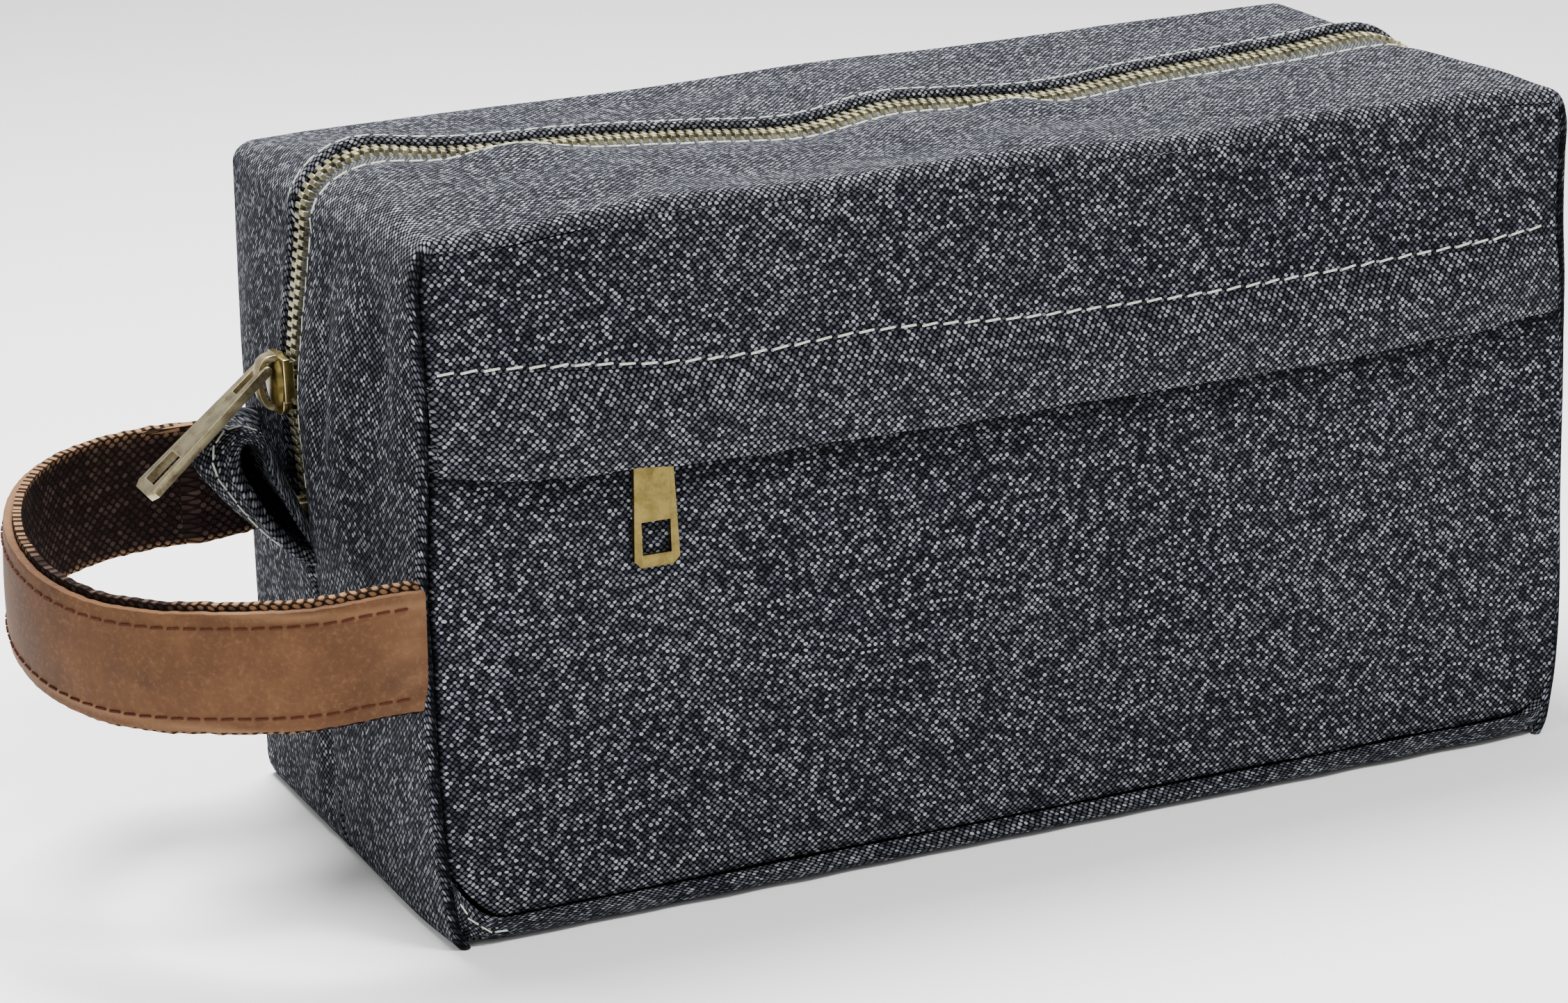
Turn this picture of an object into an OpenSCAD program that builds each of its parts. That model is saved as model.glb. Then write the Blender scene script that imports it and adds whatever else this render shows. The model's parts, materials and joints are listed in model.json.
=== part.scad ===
// Canvas shaving kit bag: zipped box bag with a flap pocket on the front
// and a leather strap handle on its left end.
// X runs along the bag (left end at -X), Y from front (-Y) to back, Z up.
// The origin is the middle of the base, on the surface the bag stands on.

/* [Bag] */
// Length between the two end seams
length = 266; // [220:1:300]
// Depth from front panel to back panel
depth = 120; // [100:1:140]
// Height of the closed bag
height = 150; // [125:1:180]
// How far each end panel bulges past its seams
end_bulge = 9; // [6:0.5:12]
// Radius of the bend from the top into each end
bend_r = 11; // [9:0.5:16]
// Thickness of the outer canvas with its turned hems
canvas_t = 2; // [1.6:0.1:2.4]
// Thickness of the lining cloth
lining_t = 0.8; // [0.5:0.1:1.2]
// Height of the canvas welt round the base
welt_h = 5; // [3:0.5:8]

/* [Main zip] */
// Distance of the zip line behind the middle of the top
zip_y = 5; // [0:0.5:10]
// Height at which the zip stops on each end
zip_foot = 81; // [70:1:90]
// Length of the slot left for the zip on each side of its line
hem_gap = 5.8; // [5.8:0.1:8]
// Distance from one tooth to the next in a row
tooth_pitch = 2.4; // [2:0.1:3]
// Height of the main slider when it stands closed
slider_z = 106; // [100:1:112]
// Length of the main pull
pull_l = 36; // [28:1:42]
// Angle of the main pull below the horizontal
pull_droop = 40; // [30:1:55]

/* [Pocket] */
// Height of the pocket zip
pocket_z = 107; // [95:1:115]
// Length of the pocket zip
pocket_l = 192; // [160:1:210]
// Place of the pocket slider along the bag
pocket_slider_x = -85.5; // [-90:0.5:-60]
// Length of the pocket pull
pocket_pull_l = 33; // [26:1:40]
// Height of the line on which the flap folds
flap_z = 117; // [112:1:125]
// Height of the flap below that line
flap_h = 20; // [16:1:26]

/* [Handle] */
// Width of the strap
strap_w = 26; // [20:1:32]
// Thickness of the leather
leather_t = 2; // [1.5:0.1:3]
// Thickness of the webbing that lines the strap
webbing_t = 2; // [1.5:0.1:3]
// Outer radius of the round part of the loop
loop_r = 54; // [46:1:55]
// Height of the middle of the loop where it joins the bag
loop_z = 68.5; // [55:0.5:80]
// Tilt of the loop, rear end up
loop_tilt = 5.6; // [0:0.1:8]

/* [Hidden] */
$fn = 64;
clear = 0.3;
far = 400;

// Outer form of the bag
front_y = -depth / 2;
back_y = depth / 2;
seam_x = length / 2 + end_bulge - bend_r;
end_x = length / 2 + end_bulge;
end_arc_r = (pow(depth / 2, 2) + pow(end_bulge, 2)) / (2 * end_bulge);
base_r = 5;
crease_r = 3;
wall_top = height - crease_r - 3.2;
welt_t = 1.5;

// Zip tape and teeth
tape_t = 0.8;
tape_w = 14;
tape_mid = canvas_t + tape_t / 2;
tooth_root = 3;
tooth_t = 2.5;
tooth_l = 1;
tooth_cross = 0.6;
slider_path = 0.9;
lining_in = canvas_t + tape_t + clear;
lining_gap = 8;
chain_end = seam_x - clear;

// Sliders: length, width, plate, and the room left for the teeth
slider_l = 13;
slider_w = 10.6;
plate_t = 1.5;
post_w = 1.2;
flange_w = 0.9;
flange_gap = 0.8;
bail_h = 5.2;
bail_t = 1.2;
bail_w = 2;
pin_h = 2.65;
pin_r = 0.9;
pin_z = 4;
pull_t = 2;

// Pocket layers, counted inwards from the front face
pocket_gap = 4.3;
pocket_tape_w = 9;
pocket_tape_y = front_y + canvas_t + tape_t / 2;
pocket_tooth_root = 2.3;
pocket_tooth_t = 2;
pocket_tooth_pitch = 1.9;
pocket_tooth_l = 0.9;
pocket_slider_l = 10;
pocket_slider_w = 7.8;
pocket_plate_t = 1.1;
pocket_lining_y = front_y + 5;
pocket_body_y = front_y + 6;
pocket_pin_y = 1;
pocket_pin_z = 1.6;
pocket_pin_r = 0.7;
pocket_pull_t = 1.4;
pocket_bail_h = 3;
pocket_bail_w = 1.8;
flap_t = 1.4;
flap_roll_r = 0.65;
strip_t = 1.7;
strip_h = 3.4;
strip_gap = 1.1;
flap_w = 2 * seam_x - 2 * clear;

// Handle loop
loop_x = -150;
loop_y = 1;

// Whole-bag forms, each pulled in by the given distance

module plan(inset) {
    intersection() {
        square([2 * end_x + 20, depth - 2 * inset], center = true);
        translate([end_arc_r - end_x, 0]) circle(end_arc_r - inset, $fn = 180);
        translate([end_x - end_arc_r, 0]) circle(end_arc_r - inset, $fn = 180);
    }
}

module rounded_outline(half_w, z0, z1, r_top, r_low) {
    difference() {
        translate([-half_w, z0]) square([2 * half_w, z1 - z0]);
        for (s = [-1, 1]) {
            translate([s * half_w, z1]) square(2 * r_top, center = true);
            translate([s * half_w, z0]) square(2 * r_low, center = true);
        }
    }
    for (s = [-1, 1]) {
        translate([s * (half_w - r_top), z1 - r_top]) circle(r_top);
        translate([s * (half_w - r_low), z0 + r_low]) circle(r_low);
    }
}

module form(inset) {
    intersection() {
        translate([0, 0, -10]) linear_extrude(height + 20) plan(inset);
        rotate([90, 0, 0])
            linear_extrude(2 * depth, center = true)
                rounded_outline(end_x - inset, inset, height - inset, bend_r - inset, base_r - inset);
    }
}

module shell(outer, inner) {
    difference() {
        form(outer);
        form(inner);
    }
}

// Box from one corner to the opposite one
module span(low, high) {
    translate(low) cube(high - low);
}

module beyond_seam(side) {
    span([side > 0 ? seam_x : -far, -far, -far], [side > 0 ? far : -seam_x, far, far]);
}

module between_seams(low_y, high_y, low_z, high_z) {
    span([-seam_x, low_y, low_z], [seam_x, high_y, high_z]);
}

// Canvas panels

module front_lower_panel() {
    color("dimgray")
        between_seams(front_y, front_y + canvas_t, canvas_t, pocket_z - pocket_gap);
}

module front_upper_panel() {
    color("dimgray")
        between_seams(front_y, front_y + canvas_t, pocket_z + pocket_gap, wall_top);
}

module back_panel() {
    color("dimgray") between_seams(back_y - canvas_t, back_y, canvas_t, wall_top);
}

module bottom_panel() {
    color("dimgray") between_seams(front_y, back_y, 0, canvas_t);
}

module end_panel(side) {
    color("dimgray")
        difference() {
            intersection() {
                shell(0, canvas_t);
                beyond_seam(side);
            }
            span([-far, zip_y - hem_gap, zip_foot - 3], [far, zip_y + hem_gap, far]);
        }
}

module bottom_welt() {
    color("gray")
        intersection() {
            shell(-welt_t, 0);
            span([-far, -far, 0], [far, far, welt_h]);
        }
}

// Lapel of the rear hem, folded outwards below the slider
module left_zip_fold() {
    lean = [[-130, 66], [-end_x + 0.5, 66], [-155, 86], [-153, 91], [-151, 91], [-130, 68.5]];
    color("dimgray")
        difference() {
            translate([0, 45, 0]) rotate([90, 0, 0]) linear_extrude(33) polygon(lean);
            form(0);
        }
}

module top_panel(side, hem_y) {
    hinge_y = side * (back_y - crease_r);
    color("slategray") {
        span([-chain_end, min(hinge_y, hem_y), height - canvas_t],
             [chain_end, max(hinge_y, hem_y), height]);
        translate([-chain_end, hinge_y, height - crease_r])
            rotate([0, 90, 0]) cylinder(h = 2 * chain_end, r = crease_r);
    }
}

module top_lining(side, edge_y) {
    hinge_y = side * (back_y - crease_r - 4);
    top = height - lining_in + clear / 2;
    color("saddlebrown")
        span([-chain_end, min(hinge_y, edge_y), top - lining_t],
             [chain_end, max(hinge_y, edge_y), top]);
}

// Lining, set back behind the pocket at the front

module lining_form(extra) {
    intersection() {
        form(lining_in + extra);
        span([-far, pocket_body_y + extra, -far], [far, far, far]);
    }
}

module body_lining() {
    color("saddlebrown")
        difference() {
            lining_form(0);
            lining_form(lining_t);
            span([-far, -far, wall_top], [far, far, far]);
            for (side = [-1, 1])
                intersection() {
                    span([-far, zip_y - lining_gap, zip_foot - 6], [far, zip_y + lining_gap, far]);
                    beyond_seam(side);
                }
        }
}

module pocket_lining() {
    color("saddlebrown")
        between_seams(pocket_lining_y, pocket_lining_y + lining_t, canvas_t + 2, wall_top - 12);
}

// Pocket flap, and the strip of it that is sewn down above the fold

module flap_edge_strip() {
    color("dimgray")
        between_seams(front_y - strip_t, front_y, flap_z + strip_gap, flap_z + strip_h);
}

module flap_stitching() {
    stitch = 3.8;
    step = 4.7;
    count = floor((2 * seam_x - 10) / step);
    color("beige")
        for (i = [0 : count - 1])
            translate([(i - (count - 1) / 2) * step, front_y - strip_t - 0.2,
                       flap_z + (strip_gap + strip_h) / 2])
                cube([stitch, 0.4, 0.8], center = true);
}

// The flap stands clear of the pocket slider and turns about the roll at its fold
module pocket_flap() {
    fold_y = front_y - 1;
    stand = front_y - 3.4;
    edge = front_y - 2.3;
    low = flap_z - flap_h;
    profile = [[fold_y + 0.5, flap_z - 0.3], [stand, pocket_z + 3.8], [stand, pocket_z - 3.5],
               [edge, low], [edge - flap_t, low], [stand - flap_t, pocket_z - 3.5],
               [stand - flap_t, pocket_z + 3.8], [fold_y - 0.5, flap_z + 0.2]];
    color("dimgray")
        translate([flap_w / 2, 0, 0]) rotate([90, 0, -90]) linear_extrude(flap_w)
            mirror([1, 0]) {
                polygon(profile);
                translate([fold_y, flap_z]) circle(flap_roll_r);
            }
}

// Main zip: tape and teeth along the top, round the bend and down each end

module top_tape(side) {
    low = height - canvas_t - tape_t;
    near = zip_y + side * tooth_root;
    far_edge = zip_y + side * tape_w;
    color("darkslategray")
        span([-chain_end, min(near, far_edge), low], [chain_end, max(near, far_edge), low + tape_t]);
}

module end_tape(end, side) {
    near = zip_y + side * tooth_root;
    far_edge = zip_y + side * tape_w;
    color("darkslategray")
        intersection() {
            shell(canvas_t, canvas_t + tape_t);
            beyond_seam(end);
            span([-far, min(near, far_edge), zip_foot - 3], [far, max(near, far_edge), far]);
        }
}

// One tooth on the zip line, its root on the given side; reach is how far its
// tip stays from the line, or passes it when negative
module tooth(side, reach, long, thick, root) {
    translate([0, side * (root + reach) / 2, 0]) cube([long, root - reach, thick], center = true);
}

module top_teeth(side) {
    count = floor(2 * chain_end / tooth_pitch);
    shift = side * tooth_pitch / 4;
    color("darkkhaki")
        for (i = [0 : count - 1])
            translate([(i - (count - 1) / 2) * tooth_pitch + shift, zip_y, height - tape_mid])
                tooth(side, -tooth_cross, tooth_l, tooth_t, tooth_root);
}

// Puts its children at a distance along the end path, counted from the seam
module on_end_path(end, along) {
    chain_r = bend_r - tape_mid;
    bend_l = chain_r * PI / 2;
    angle = min(along, bend_l) / chain_r * 180 / PI;
    drop = max(0, along - bend_l);
    mirror([end > 0 ? 0 : 1, 0, 0])
        translate([seam_x, zip_y, height - bend_r - drop])
            rotate([0, angle, 0]) translate([0, 0, chain_r]) children();
}

module end_teeth(end, side, reach) {
    path_l = (bend_r - tape_mid) * PI / 2 + height - bend_r - zip_foot;
    count = floor(path_l / tooth_pitch);
    first = tooth_pitch * (side > 0 ? 0.75 : 0.25) + 0.35;
    color("darkkhaki")
        for (i = [0 : count - 1])
            on_end_path(end, first + i * tooth_pitch)
                tooth(side, reach, tooth_l, tooth_t, tooth_root);
}

module zip_closed_stops() {
    color("darkkhaki")
        for (side = [-1, 1])
            translate([-end_x + tape_mid, zip_y + side * 2, zip_foot - 1.6])
                cube([3, 1.9, 2.2], center = true);
}

module zip_open_stop() {
    color("darkkhaki")
        translate([end_x - tape_mid, zip_y, zip_foot - 1.6]) cube([3, 5.8, 2.2], center = true);
}

// Slider: two plates joined by a post at the nose, with flanges beside the
// teeth. The zip line runs along X through the origin and +Z is outwards.
module slider_body(long, wide, chain_t, plate, side_gap) {
    inner = chain_t / 2 + clear;
    color("darkkhaki") {
        for (s = [-1, 1])
            mirror([0, 0, s > 0 ? 0 : 1]) {
                translate([0, 0, inner]) linear_extrude(plate) slider_outline(long, wide);
                for (f = [-1, 1])
                    translate([-long / 2 + 0.5, f * (wide - flange_w) / 2 - flange_w / 2, side_gap])
                        cube([long * 0.62, flange_w, inner - side_gap]);
            }
        translate([long / 2 - 2.4, -post_w / 2, -inner]) cube([1.8, post_w, 2 * inner]);
    }
}

module slider_outline(long, wide) {
    nose_r = wide * 0.36;
    translate([-long / 2, -wide / 2]) square([long * 0.72, wide]);
    translate([long / 2 - nose_r, 0]) circle(nose_r);
}

// Bridge over the slider plate; it spans along X and stands up from Z = 0
module bail(span_l, high, wide) {
    color("darkkhaki")
        rotate([90, 0, 0]) linear_extrude(wide, center = true)
            difference() {
                arch(span_l / 2, high, high * 0.3);
                translate([0, -0.01]) arch(span_l / 2 - bail_t, high - bail_t, high * 0.14);
            }
}

module arch(half_w, high, corner_r) {
    translate([-half_w, 0]) square([2 * half_w, high - corner_r]);
    translate([corner_r - half_w, 0]) square([2 * (half_w - corner_r), high]);
    for (s = [-1, 1]) translate([s * (half_w - corner_r), high - corner_r]) circle(corner_r);
}

// Pull tab hung on a round cross bar at the origin; it lies along +X
module pull_tab(long, root_w, tip_w, thick, bar_r, slot_l, slot_w, window) {
    color("darkkhaki") {
        linear_extrude(thick, center = true)
            difference() {
                polygon([[0, -root_w / 2], [long - 1.5, -tip_w / 2], [long, -tip_w / 2 + 1.5],
                         [long, tip_w / 2 - 1.5], [long - 1.5, tip_w / 2], [0, root_w / 2]]);
                translate([-1, -slot_w / 2]) square([slot_l + 1, slot_w]);
                translate([long - 2.6 - window[0], -window[1] / 2]) square(window);
            }
        rotate([90, 0, 0]) cylinder(h = root_w, r = bar_r, center = true, $fn = 32);
    }
}

module at_main_slider() {
    translate([-end_x + tape_mid, zip_y, slider_z]) mirror([1, 0, 0]) rotate([0, 90, 0]) children();
}

module main_slider_body() {
    at_main_slider() slider_body(slider_l, slider_w, tooth_t, plate_t, flange_gap);
}

module main_slider_bail() {
    plate_top = tooth_t / 2 + clear + plate_t;
    at_main_slider() translate([-0.2, 0, plate_top]) bail(slider_l - 0.6, bail_h, bail_w);
}

module main_pull() {
    pin_x = -end_x + tape_mid - (tooth_t / 2 + clear + plate_t + pin_h);
    translate([pin_x, zip_y, slider_z + pin_z])
        rotate([0, -pull_droop, 0]) mirror([1, 0, 0])
            pull_tab(pull_l, 6.4, 10.6, pull_t, pin_r, 8, 2.8, [8, 6]);
}

// Pocket zip, straight along the front behind the flap

module pocket_tape(side) {
    near = pocket_z + side * pocket_tooth_root;
    far_edge = pocket_z + side * pocket_tape_w;
    y = front_y + canvas_t;
    color("darkslategray")
        span([-pocket_l / 2 - 6, y, min(near, far_edge)],
             [pocket_l / 2 + 6, y + tape_t, max(near, far_edge)]);
}

module pocket_teeth(side) {
    count = floor(pocket_l / pocket_tooth_pitch);
    shift = side * pocket_tooth_pitch / 4;
    color("darkkhaki")
        for (i = [0 : count - 1])
            translate([(i - (count - 1) / 2) * pocket_tooth_pitch + shift, pocket_tape_y, pocket_z])
                rotate([90, 0, 0])
                    tooth(side, slider_path, pocket_tooth_l, pocket_tooth_t, pocket_tooth_root);
}

module pocket_zip_stops() {
    color("darkkhaki")
        for (end = [-1, 1], side = [-1, 1])
            translate([end * (pocket_l / 2 + 1.6), pocket_tape_y, pocket_z + side * 1.4])
                cube([1.6, 2.2, 1.6], center = true);
}

module at_pocket_slider() {
    translate([pocket_slider_x, pocket_tape_y, pocket_z])
        mirror([1, 0, 0]) rotate([90, 0, 0]) children();
}

module pocket_slider_body() {
    at_pocket_slider()
        slider_body(pocket_slider_l, pocket_slider_w, pocket_tooth_t, pocket_plate_t, flange_gap);
}

module pocket_slider_bail() {
    plate_top = pocket_tooth_t / 2 + clear + pocket_plate_t;
    at_pocket_slider() translate([0, 0, plate_top]) rotate([0, 0, 90])
        bail(pocket_slider_w, pocket_bail_h, pocket_bail_w);
}

module pocket_pull() {
    translate([pocket_slider_x, front_y - pocket_pin_y, pocket_z + pocket_pin_z])
        rotate([0, 90, 0]) rotate([90, 0, 0])
            pull_tab(pocket_pull_l, 7.8, 10, pocket_pull_t, pocket_pin_r, 8, 2.6, [7, 6.4]);
}

// Handle: a strap loop whose ends are rounded about the line it bends on

module loop_outline(radius) {
    circle(radius, $fn = 128);
    translate([0, -radius]) square([radius, 2 * radius]);
}

module strap_band(outer_r, thick) {
    translate([loop_x, loop_y, loop_z]) rotate([loop_tilt, 0, 0])
        intersection() {
            linear_extrude(strap_w, center = true)
                difference() {
                    loop_outline(outer_r);
                    loop_outline(outer_r - thick);
                    translate([strap_w, -far]) square([far, 2 * far]);
                }
            union() {
                span([-far, -far, -far], [0, far, far]);
                rotate([90, 0, 0]) cylinder(h = 4 * outer_r, r = strap_w / 2, center = true);
            }
        }
}

module handle_leather() {
    color("peru") strap_band(loop_r, leather_t);
}

module handle_webbing() {
    color("saddlebrown") strap_band(loop_r - leather_t, webbing_t);
}

front_lower_panel();
front_upper_panel();
back_panel();
bottom_panel();
end_panel(-1);  // left_end_panel
end_panel(1);  // right_end_panel
bottom_welt();
left_zip_fold();
body_lining();
pocket_lining();
flap_edge_strip();
flap_stitching();
pocket_flap();
top_panel(-1, zip_y - hem_gap);  // top_front_panel
top_panel(1, zip_y + hem_gap);  // top_rear_panel
top_lining(-1, zip_y - lining_gap);  // top_front_lining
top_lining(1, zip_y + lining_gap);  // top_rear_lining
top_tape(-1);  // zip_tape_top_front
top_tape(1);  // zip_tape_top_rear
end_tape(-1, -1);  // zip_tape_left_front
end_tape(-1, 1);  // zip_tape_left_rear
end_tape(1, -1);  // zip_tape_right_front
end_tape(1, 1);  // zip_tape_right_rear
top_teeth(-1);  // zip_teeth_top_front
top_teeth(1);  // zip_teeth_top_rear
end_teeth(-1, -1, slider_path);  // zip_teeth_left_front
end_teeth(-1, 1, slider_path);  // zip_teeth_left_rear
end_teeth(1, -1, -tooth_cross);  // zip_teeth_right_front
end_teeth(1, 1, -tooth_cross);  // zip_teeth_right_rear
zip_closed_stops();
zip_open_stop();
main_slider_body();
main_slider_bail();
main_pull();
pocket_tape(1);  // pocket_tape_upper
pocket_tape(-1);  // pocket_tape_lower
pocket_teeth(1);  // pocket_teeth_upper
pocket_teeth(-1);  // pocket_teeth_lower
pocket_zip_stops();
pocket_slider_body();
pocket_slider_bail();
pocket_pull();
handle_leather();
handle_webbing();
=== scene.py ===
"""Canvas shaving kit bag: its cloth, zips, strap and finishes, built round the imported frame.

Lengths are in millimetres in the frame's own axes until a mesh is made: X runs along
the bag with the strap at -X, the pocket faces -Y, and the bag stands on Z = 0.
"""
import json
import math

import bmesh
import bpy
import numpy as np
from mathutils import Matrix, Vector


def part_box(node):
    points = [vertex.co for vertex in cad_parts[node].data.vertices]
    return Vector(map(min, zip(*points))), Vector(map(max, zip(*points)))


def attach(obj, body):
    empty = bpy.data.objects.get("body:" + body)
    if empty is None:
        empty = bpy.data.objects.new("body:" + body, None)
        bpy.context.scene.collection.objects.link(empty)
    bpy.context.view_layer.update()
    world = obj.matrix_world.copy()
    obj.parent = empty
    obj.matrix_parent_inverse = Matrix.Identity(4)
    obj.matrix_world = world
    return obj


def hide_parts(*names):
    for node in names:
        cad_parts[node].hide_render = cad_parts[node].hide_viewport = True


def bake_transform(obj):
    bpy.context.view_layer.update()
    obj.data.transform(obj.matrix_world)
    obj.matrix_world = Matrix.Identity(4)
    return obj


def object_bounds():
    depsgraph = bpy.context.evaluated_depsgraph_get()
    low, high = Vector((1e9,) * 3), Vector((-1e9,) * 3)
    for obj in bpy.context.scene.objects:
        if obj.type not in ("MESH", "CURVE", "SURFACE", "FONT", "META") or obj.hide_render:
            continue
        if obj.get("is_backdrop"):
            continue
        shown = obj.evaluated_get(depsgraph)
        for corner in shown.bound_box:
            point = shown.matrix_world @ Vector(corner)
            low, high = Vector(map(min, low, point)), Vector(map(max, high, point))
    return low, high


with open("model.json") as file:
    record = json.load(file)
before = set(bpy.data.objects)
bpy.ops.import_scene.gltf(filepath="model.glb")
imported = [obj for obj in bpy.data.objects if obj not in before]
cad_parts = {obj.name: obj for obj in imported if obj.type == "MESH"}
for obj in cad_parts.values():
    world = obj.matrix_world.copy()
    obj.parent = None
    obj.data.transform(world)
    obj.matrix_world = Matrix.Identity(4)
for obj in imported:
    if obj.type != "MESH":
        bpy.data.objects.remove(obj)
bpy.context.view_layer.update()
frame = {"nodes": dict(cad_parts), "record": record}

MM = 0.001


def node_box(node):
    """Lowest and highest corner of a frame node, in millimetres."""
    low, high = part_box(node)
    return np.array(low) / MM, np.array(high) / MM


# Sizes read from the frame

FRONT_Y = node_box("front_lower_panel")[0][1]
BACK_Y = node_box("back_panel")[1][1]
TOP_Z = node_box("top_front_panel")[1][2]
SEAM_X = node_box("back_panel")[1][0]
CLOTH = node_box("bottom_panel")[1][2]
ZIP_Y = node_box("zip_open_stop")[0][1] / 2 + node_box("zip_open_stop")[1][1] / 2
FLAP_LOW = node_box("pocket_flap")[0][2]
FLAP_FOLD = 117.0
SLIDER = (np.array(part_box("main_slider_body")[0]) + np.array(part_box("main_slider_body")[1])) / 2 / MM
STRAP_W = 26.0
LOOP_CENTRE = np.array([-150.0, 1.0, 68.5])
LOOP_TILT = math.radians(5.6)
CREASE_R = 3.0
SHEET = 1.2


# Curves and waves

def smooth_curve(*points):
    """A smooth line through (place, value) points, level beyond its ends."""
    xs, ys = np.array(points, float).T
    slopes = np.gradient(ys, xs)
    slopes[0] = slopes[-1] = 0

    def value(x):
        x = np.clip(np.asarray(x, float), xs[0], xs[-1])
        i = np.clip(np.searchsorted(xs, x) - 1, 0, len(xs) - 2)
        w = xs[i + 1] - xs[i]
        t = (x - xs[i]) / w
        return ((2 * t**3 - 3 * t**2 + 1) * ys[i] + (t**3 - 2 * t**2 + t) * w * slopes[i]
                + (3 * t**2 - 2 * t**3) * ys[i + 1] + (t**3 - t**2) * w * slopes[i + 1])
    return value


def hill(x, centre, width):
    return np.exp(-((np.asarray(x, float) - centre) / width) ** 2)


def ease(t):
    t = np.clip(t, 0, 1)
    return t * t * (3 - 2 * t)


def ripple(a, b, seed, reach):
    """Low soft waves over a sheet, from -1 to 1; reach is the usual wave length."""
    rng = np.random.default_rng(seed)
    total = 0
    for k in range(7):
        angle = rng.uniform(0, 2 * math.pi)
        length = reach * rng.uniform(0.6, 1.7)
        phase = rng.uniform(0, 2 * math.pi)
        along = np.asarray(a) * math.cos(angle) + np.asarray(b) * math.sin(angle)
        total = total + np.sin(2 * math.pi * along / length + phase)
    return total / 4


crease_top = smooth_curve((-133, 148.6), (-114, 148.3), (-98, 149.8), (-78, 151), (-55, 150.1), (-10, 151.2),
                          (36, 149.6), (75, 150.5), (114, 150.4), (133, 149.4))
rear_crease_top = smooth_curve((-133, 146.8), (-114, 147.5), (-77, 148), (-39, 148.5), (0, 149.7), (41, 149.7),
                               (83, 150.2), (133, 150.7))
zip_top = smooth_curve((-120, 153.2), (-106, 151.4), (-74, 149.9), (-46, 148.0), (-20, 146.4), (1, 148.6),
                       (20, 147.9), (38, 147), (67, 148.8), (102, 150.4), (120, 151.8))
zip_side = smooth_curve((-120, 5), (-90, 4.2), (-60, 5.4), (-24, 4), (0, 6), (28, 4.5), (60, 5.5), (120, 5))
end_bulge = smooth_curve((0, 0), (20, 1.6), (45, 3.2), (70, 4.4), (88, 5.6), (105, 6.6), (118, 5.4), (130, 3.9),
                         (140, 2.6), (150, 2.2))


def crown(y, power=2.0):
    """1 at the zip line, 0 at the front and back creases."""
    y = np.asarray(y, float)
    side = np.where(y < ZIP_Y, (ZIP_Y - y) / (ZIP_Y - FRONT_Y), (y - ZIP_Y) / (BACK_Y - ZIP_Y))
    return 1 - np.clip(side, 0, 1) ** power


def top_height(x, y):
    """Height of the outer face of the top."""
    y = np.asarray(y, float)
    side = np.where(y < ZIP_Y, crease_top(x), rear_crease_top(x))
    c = np.where(y < ZIP_Y, crown(y, 1.6), crown(y, 1.2))
    waves = ripple(x, y, 5, 70) * 0.55 + ripple(x, y, 9, 28) * 0.25
    return side + (zip_top(x) - side) * c + waves * np.clip(4 * c * (1 - c), 0, 1)


# Mesh making

def deselect():
    bpy.ops.object.select_all(action="DESELECT")


def only(obj):
    deselect()
    obj.select_set(True)
    bpy.context.view_layer.objects.active = obj


def apply_modifier(obj, kind, **settings):
    only(obj)
    modifier = obj.modifiers.new(kind, kind)
    for name, value in settings.items():
        setattr(modifier, name, value)
    bpy.ops.object.modifier_apply(modifier=modifier.name)


def set_points(obj, points):
    obj.data.vertices.foreach_set("co", (np.asarray(points, float) * MM).astype(np.float32).ravel())
    obj.data.update()


def get_points(obj):
    co = np.zeros(len(obj.data.vertices) * 3, np.float32)
    obj.data.vertices.foreach_get("co", co)
    return co.reshape(-1, 3) / MM


def finish_piece(obj, name, body, material, replaces=(), smooth=40):
    obj.name = name
    obj.data.name = name
    obj.data.materials.clear()
    obj.data.materials.append(material)
    only(obj)
    bpy.ops.object.shade_smooth_by_angle(angle=math.radians(smooth))
    if isinstance(body, str):
        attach(obj, body)
    else:
        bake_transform(obj)
    if replaces:
        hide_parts(*replaces)
    return obj


def cloth_lengths(points, columns, rows, turn):
    """Lengths measured along the cloth from its last row, for the weave; turn flips them."""
    grid = points.reshape(rows + 1, columns + 1, 3)
    across, along = np.zeros((2, rows + 1, columns + 1))
    across[:, 1:] = np.cumsum(np.linalg.norm(np.diff(grid, axis=1), axis=2), axis=1)
    along[1:] = np.cumsum(np.linalg.norm(np.diff(grid, axis=0), axis=2), axis=0)
    along = turn * (along[-1] - along)
    return np.stack([along.ravel(), across.ravel()], 1)


def cloth_grid(columns, rows, shape, outward, turn=1, upright=False):
    """A grid laid by shape(u, v), with the lengths along its cloth in its UV map, or its
    place across an upright wall."""
    deselect()
    bpy.ops.mesh.primitive_grid_add(x_subdivisions=columns, y_subdivisions=rows, size=2)
    obj = bpy.context.active_object
    uv = (get_points(obj)[:, :2] * MM + 1) / 2
    points = np.stack(np.broadcast_arrays(*shape(uv[:, 0], uv[:, 1])), 1)
    set_points(obj, points)
    flat = points[:, [0, 2]] if upright else cloth_lengths(points, columns, rows, turn)
    layer = obj.data.uv_layers[0]
    layer.name = "cloth"
    corners = np.zeros(len(obj.data.loops), np.int64)
    obj.data.loops.foreach_get("vertex_index", corners)
    layer.data.foreach_set("uv", flat[corners].astype(np.float32).ravel())
    middle = obj.data.polygons[(rows // 2) * columns + columns // 2]
    if middle.normal.dot(Vector(outward)) < 0:
        only(obj)
        bpy.ops.object.mode_set(mode="EDIT")
        bpy.ops.mesh.select_all(action="SELECT")
        bpy.ops.mesh.flip_normals()
        bpy.ops.object.mode_set(mode="OBJECT")
    return obj


def hem_roll(past, radius):
    """How far a turned-under hem runs on past its last flat line, and how far it drops."""
    turn = np.clip(past / radius, 0, np.pi)
    back = np.maximum(past - np.pi * radius, 0)
    return radius * np.sin(turn) - back, radius * (1 - np.cos(turn))


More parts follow.
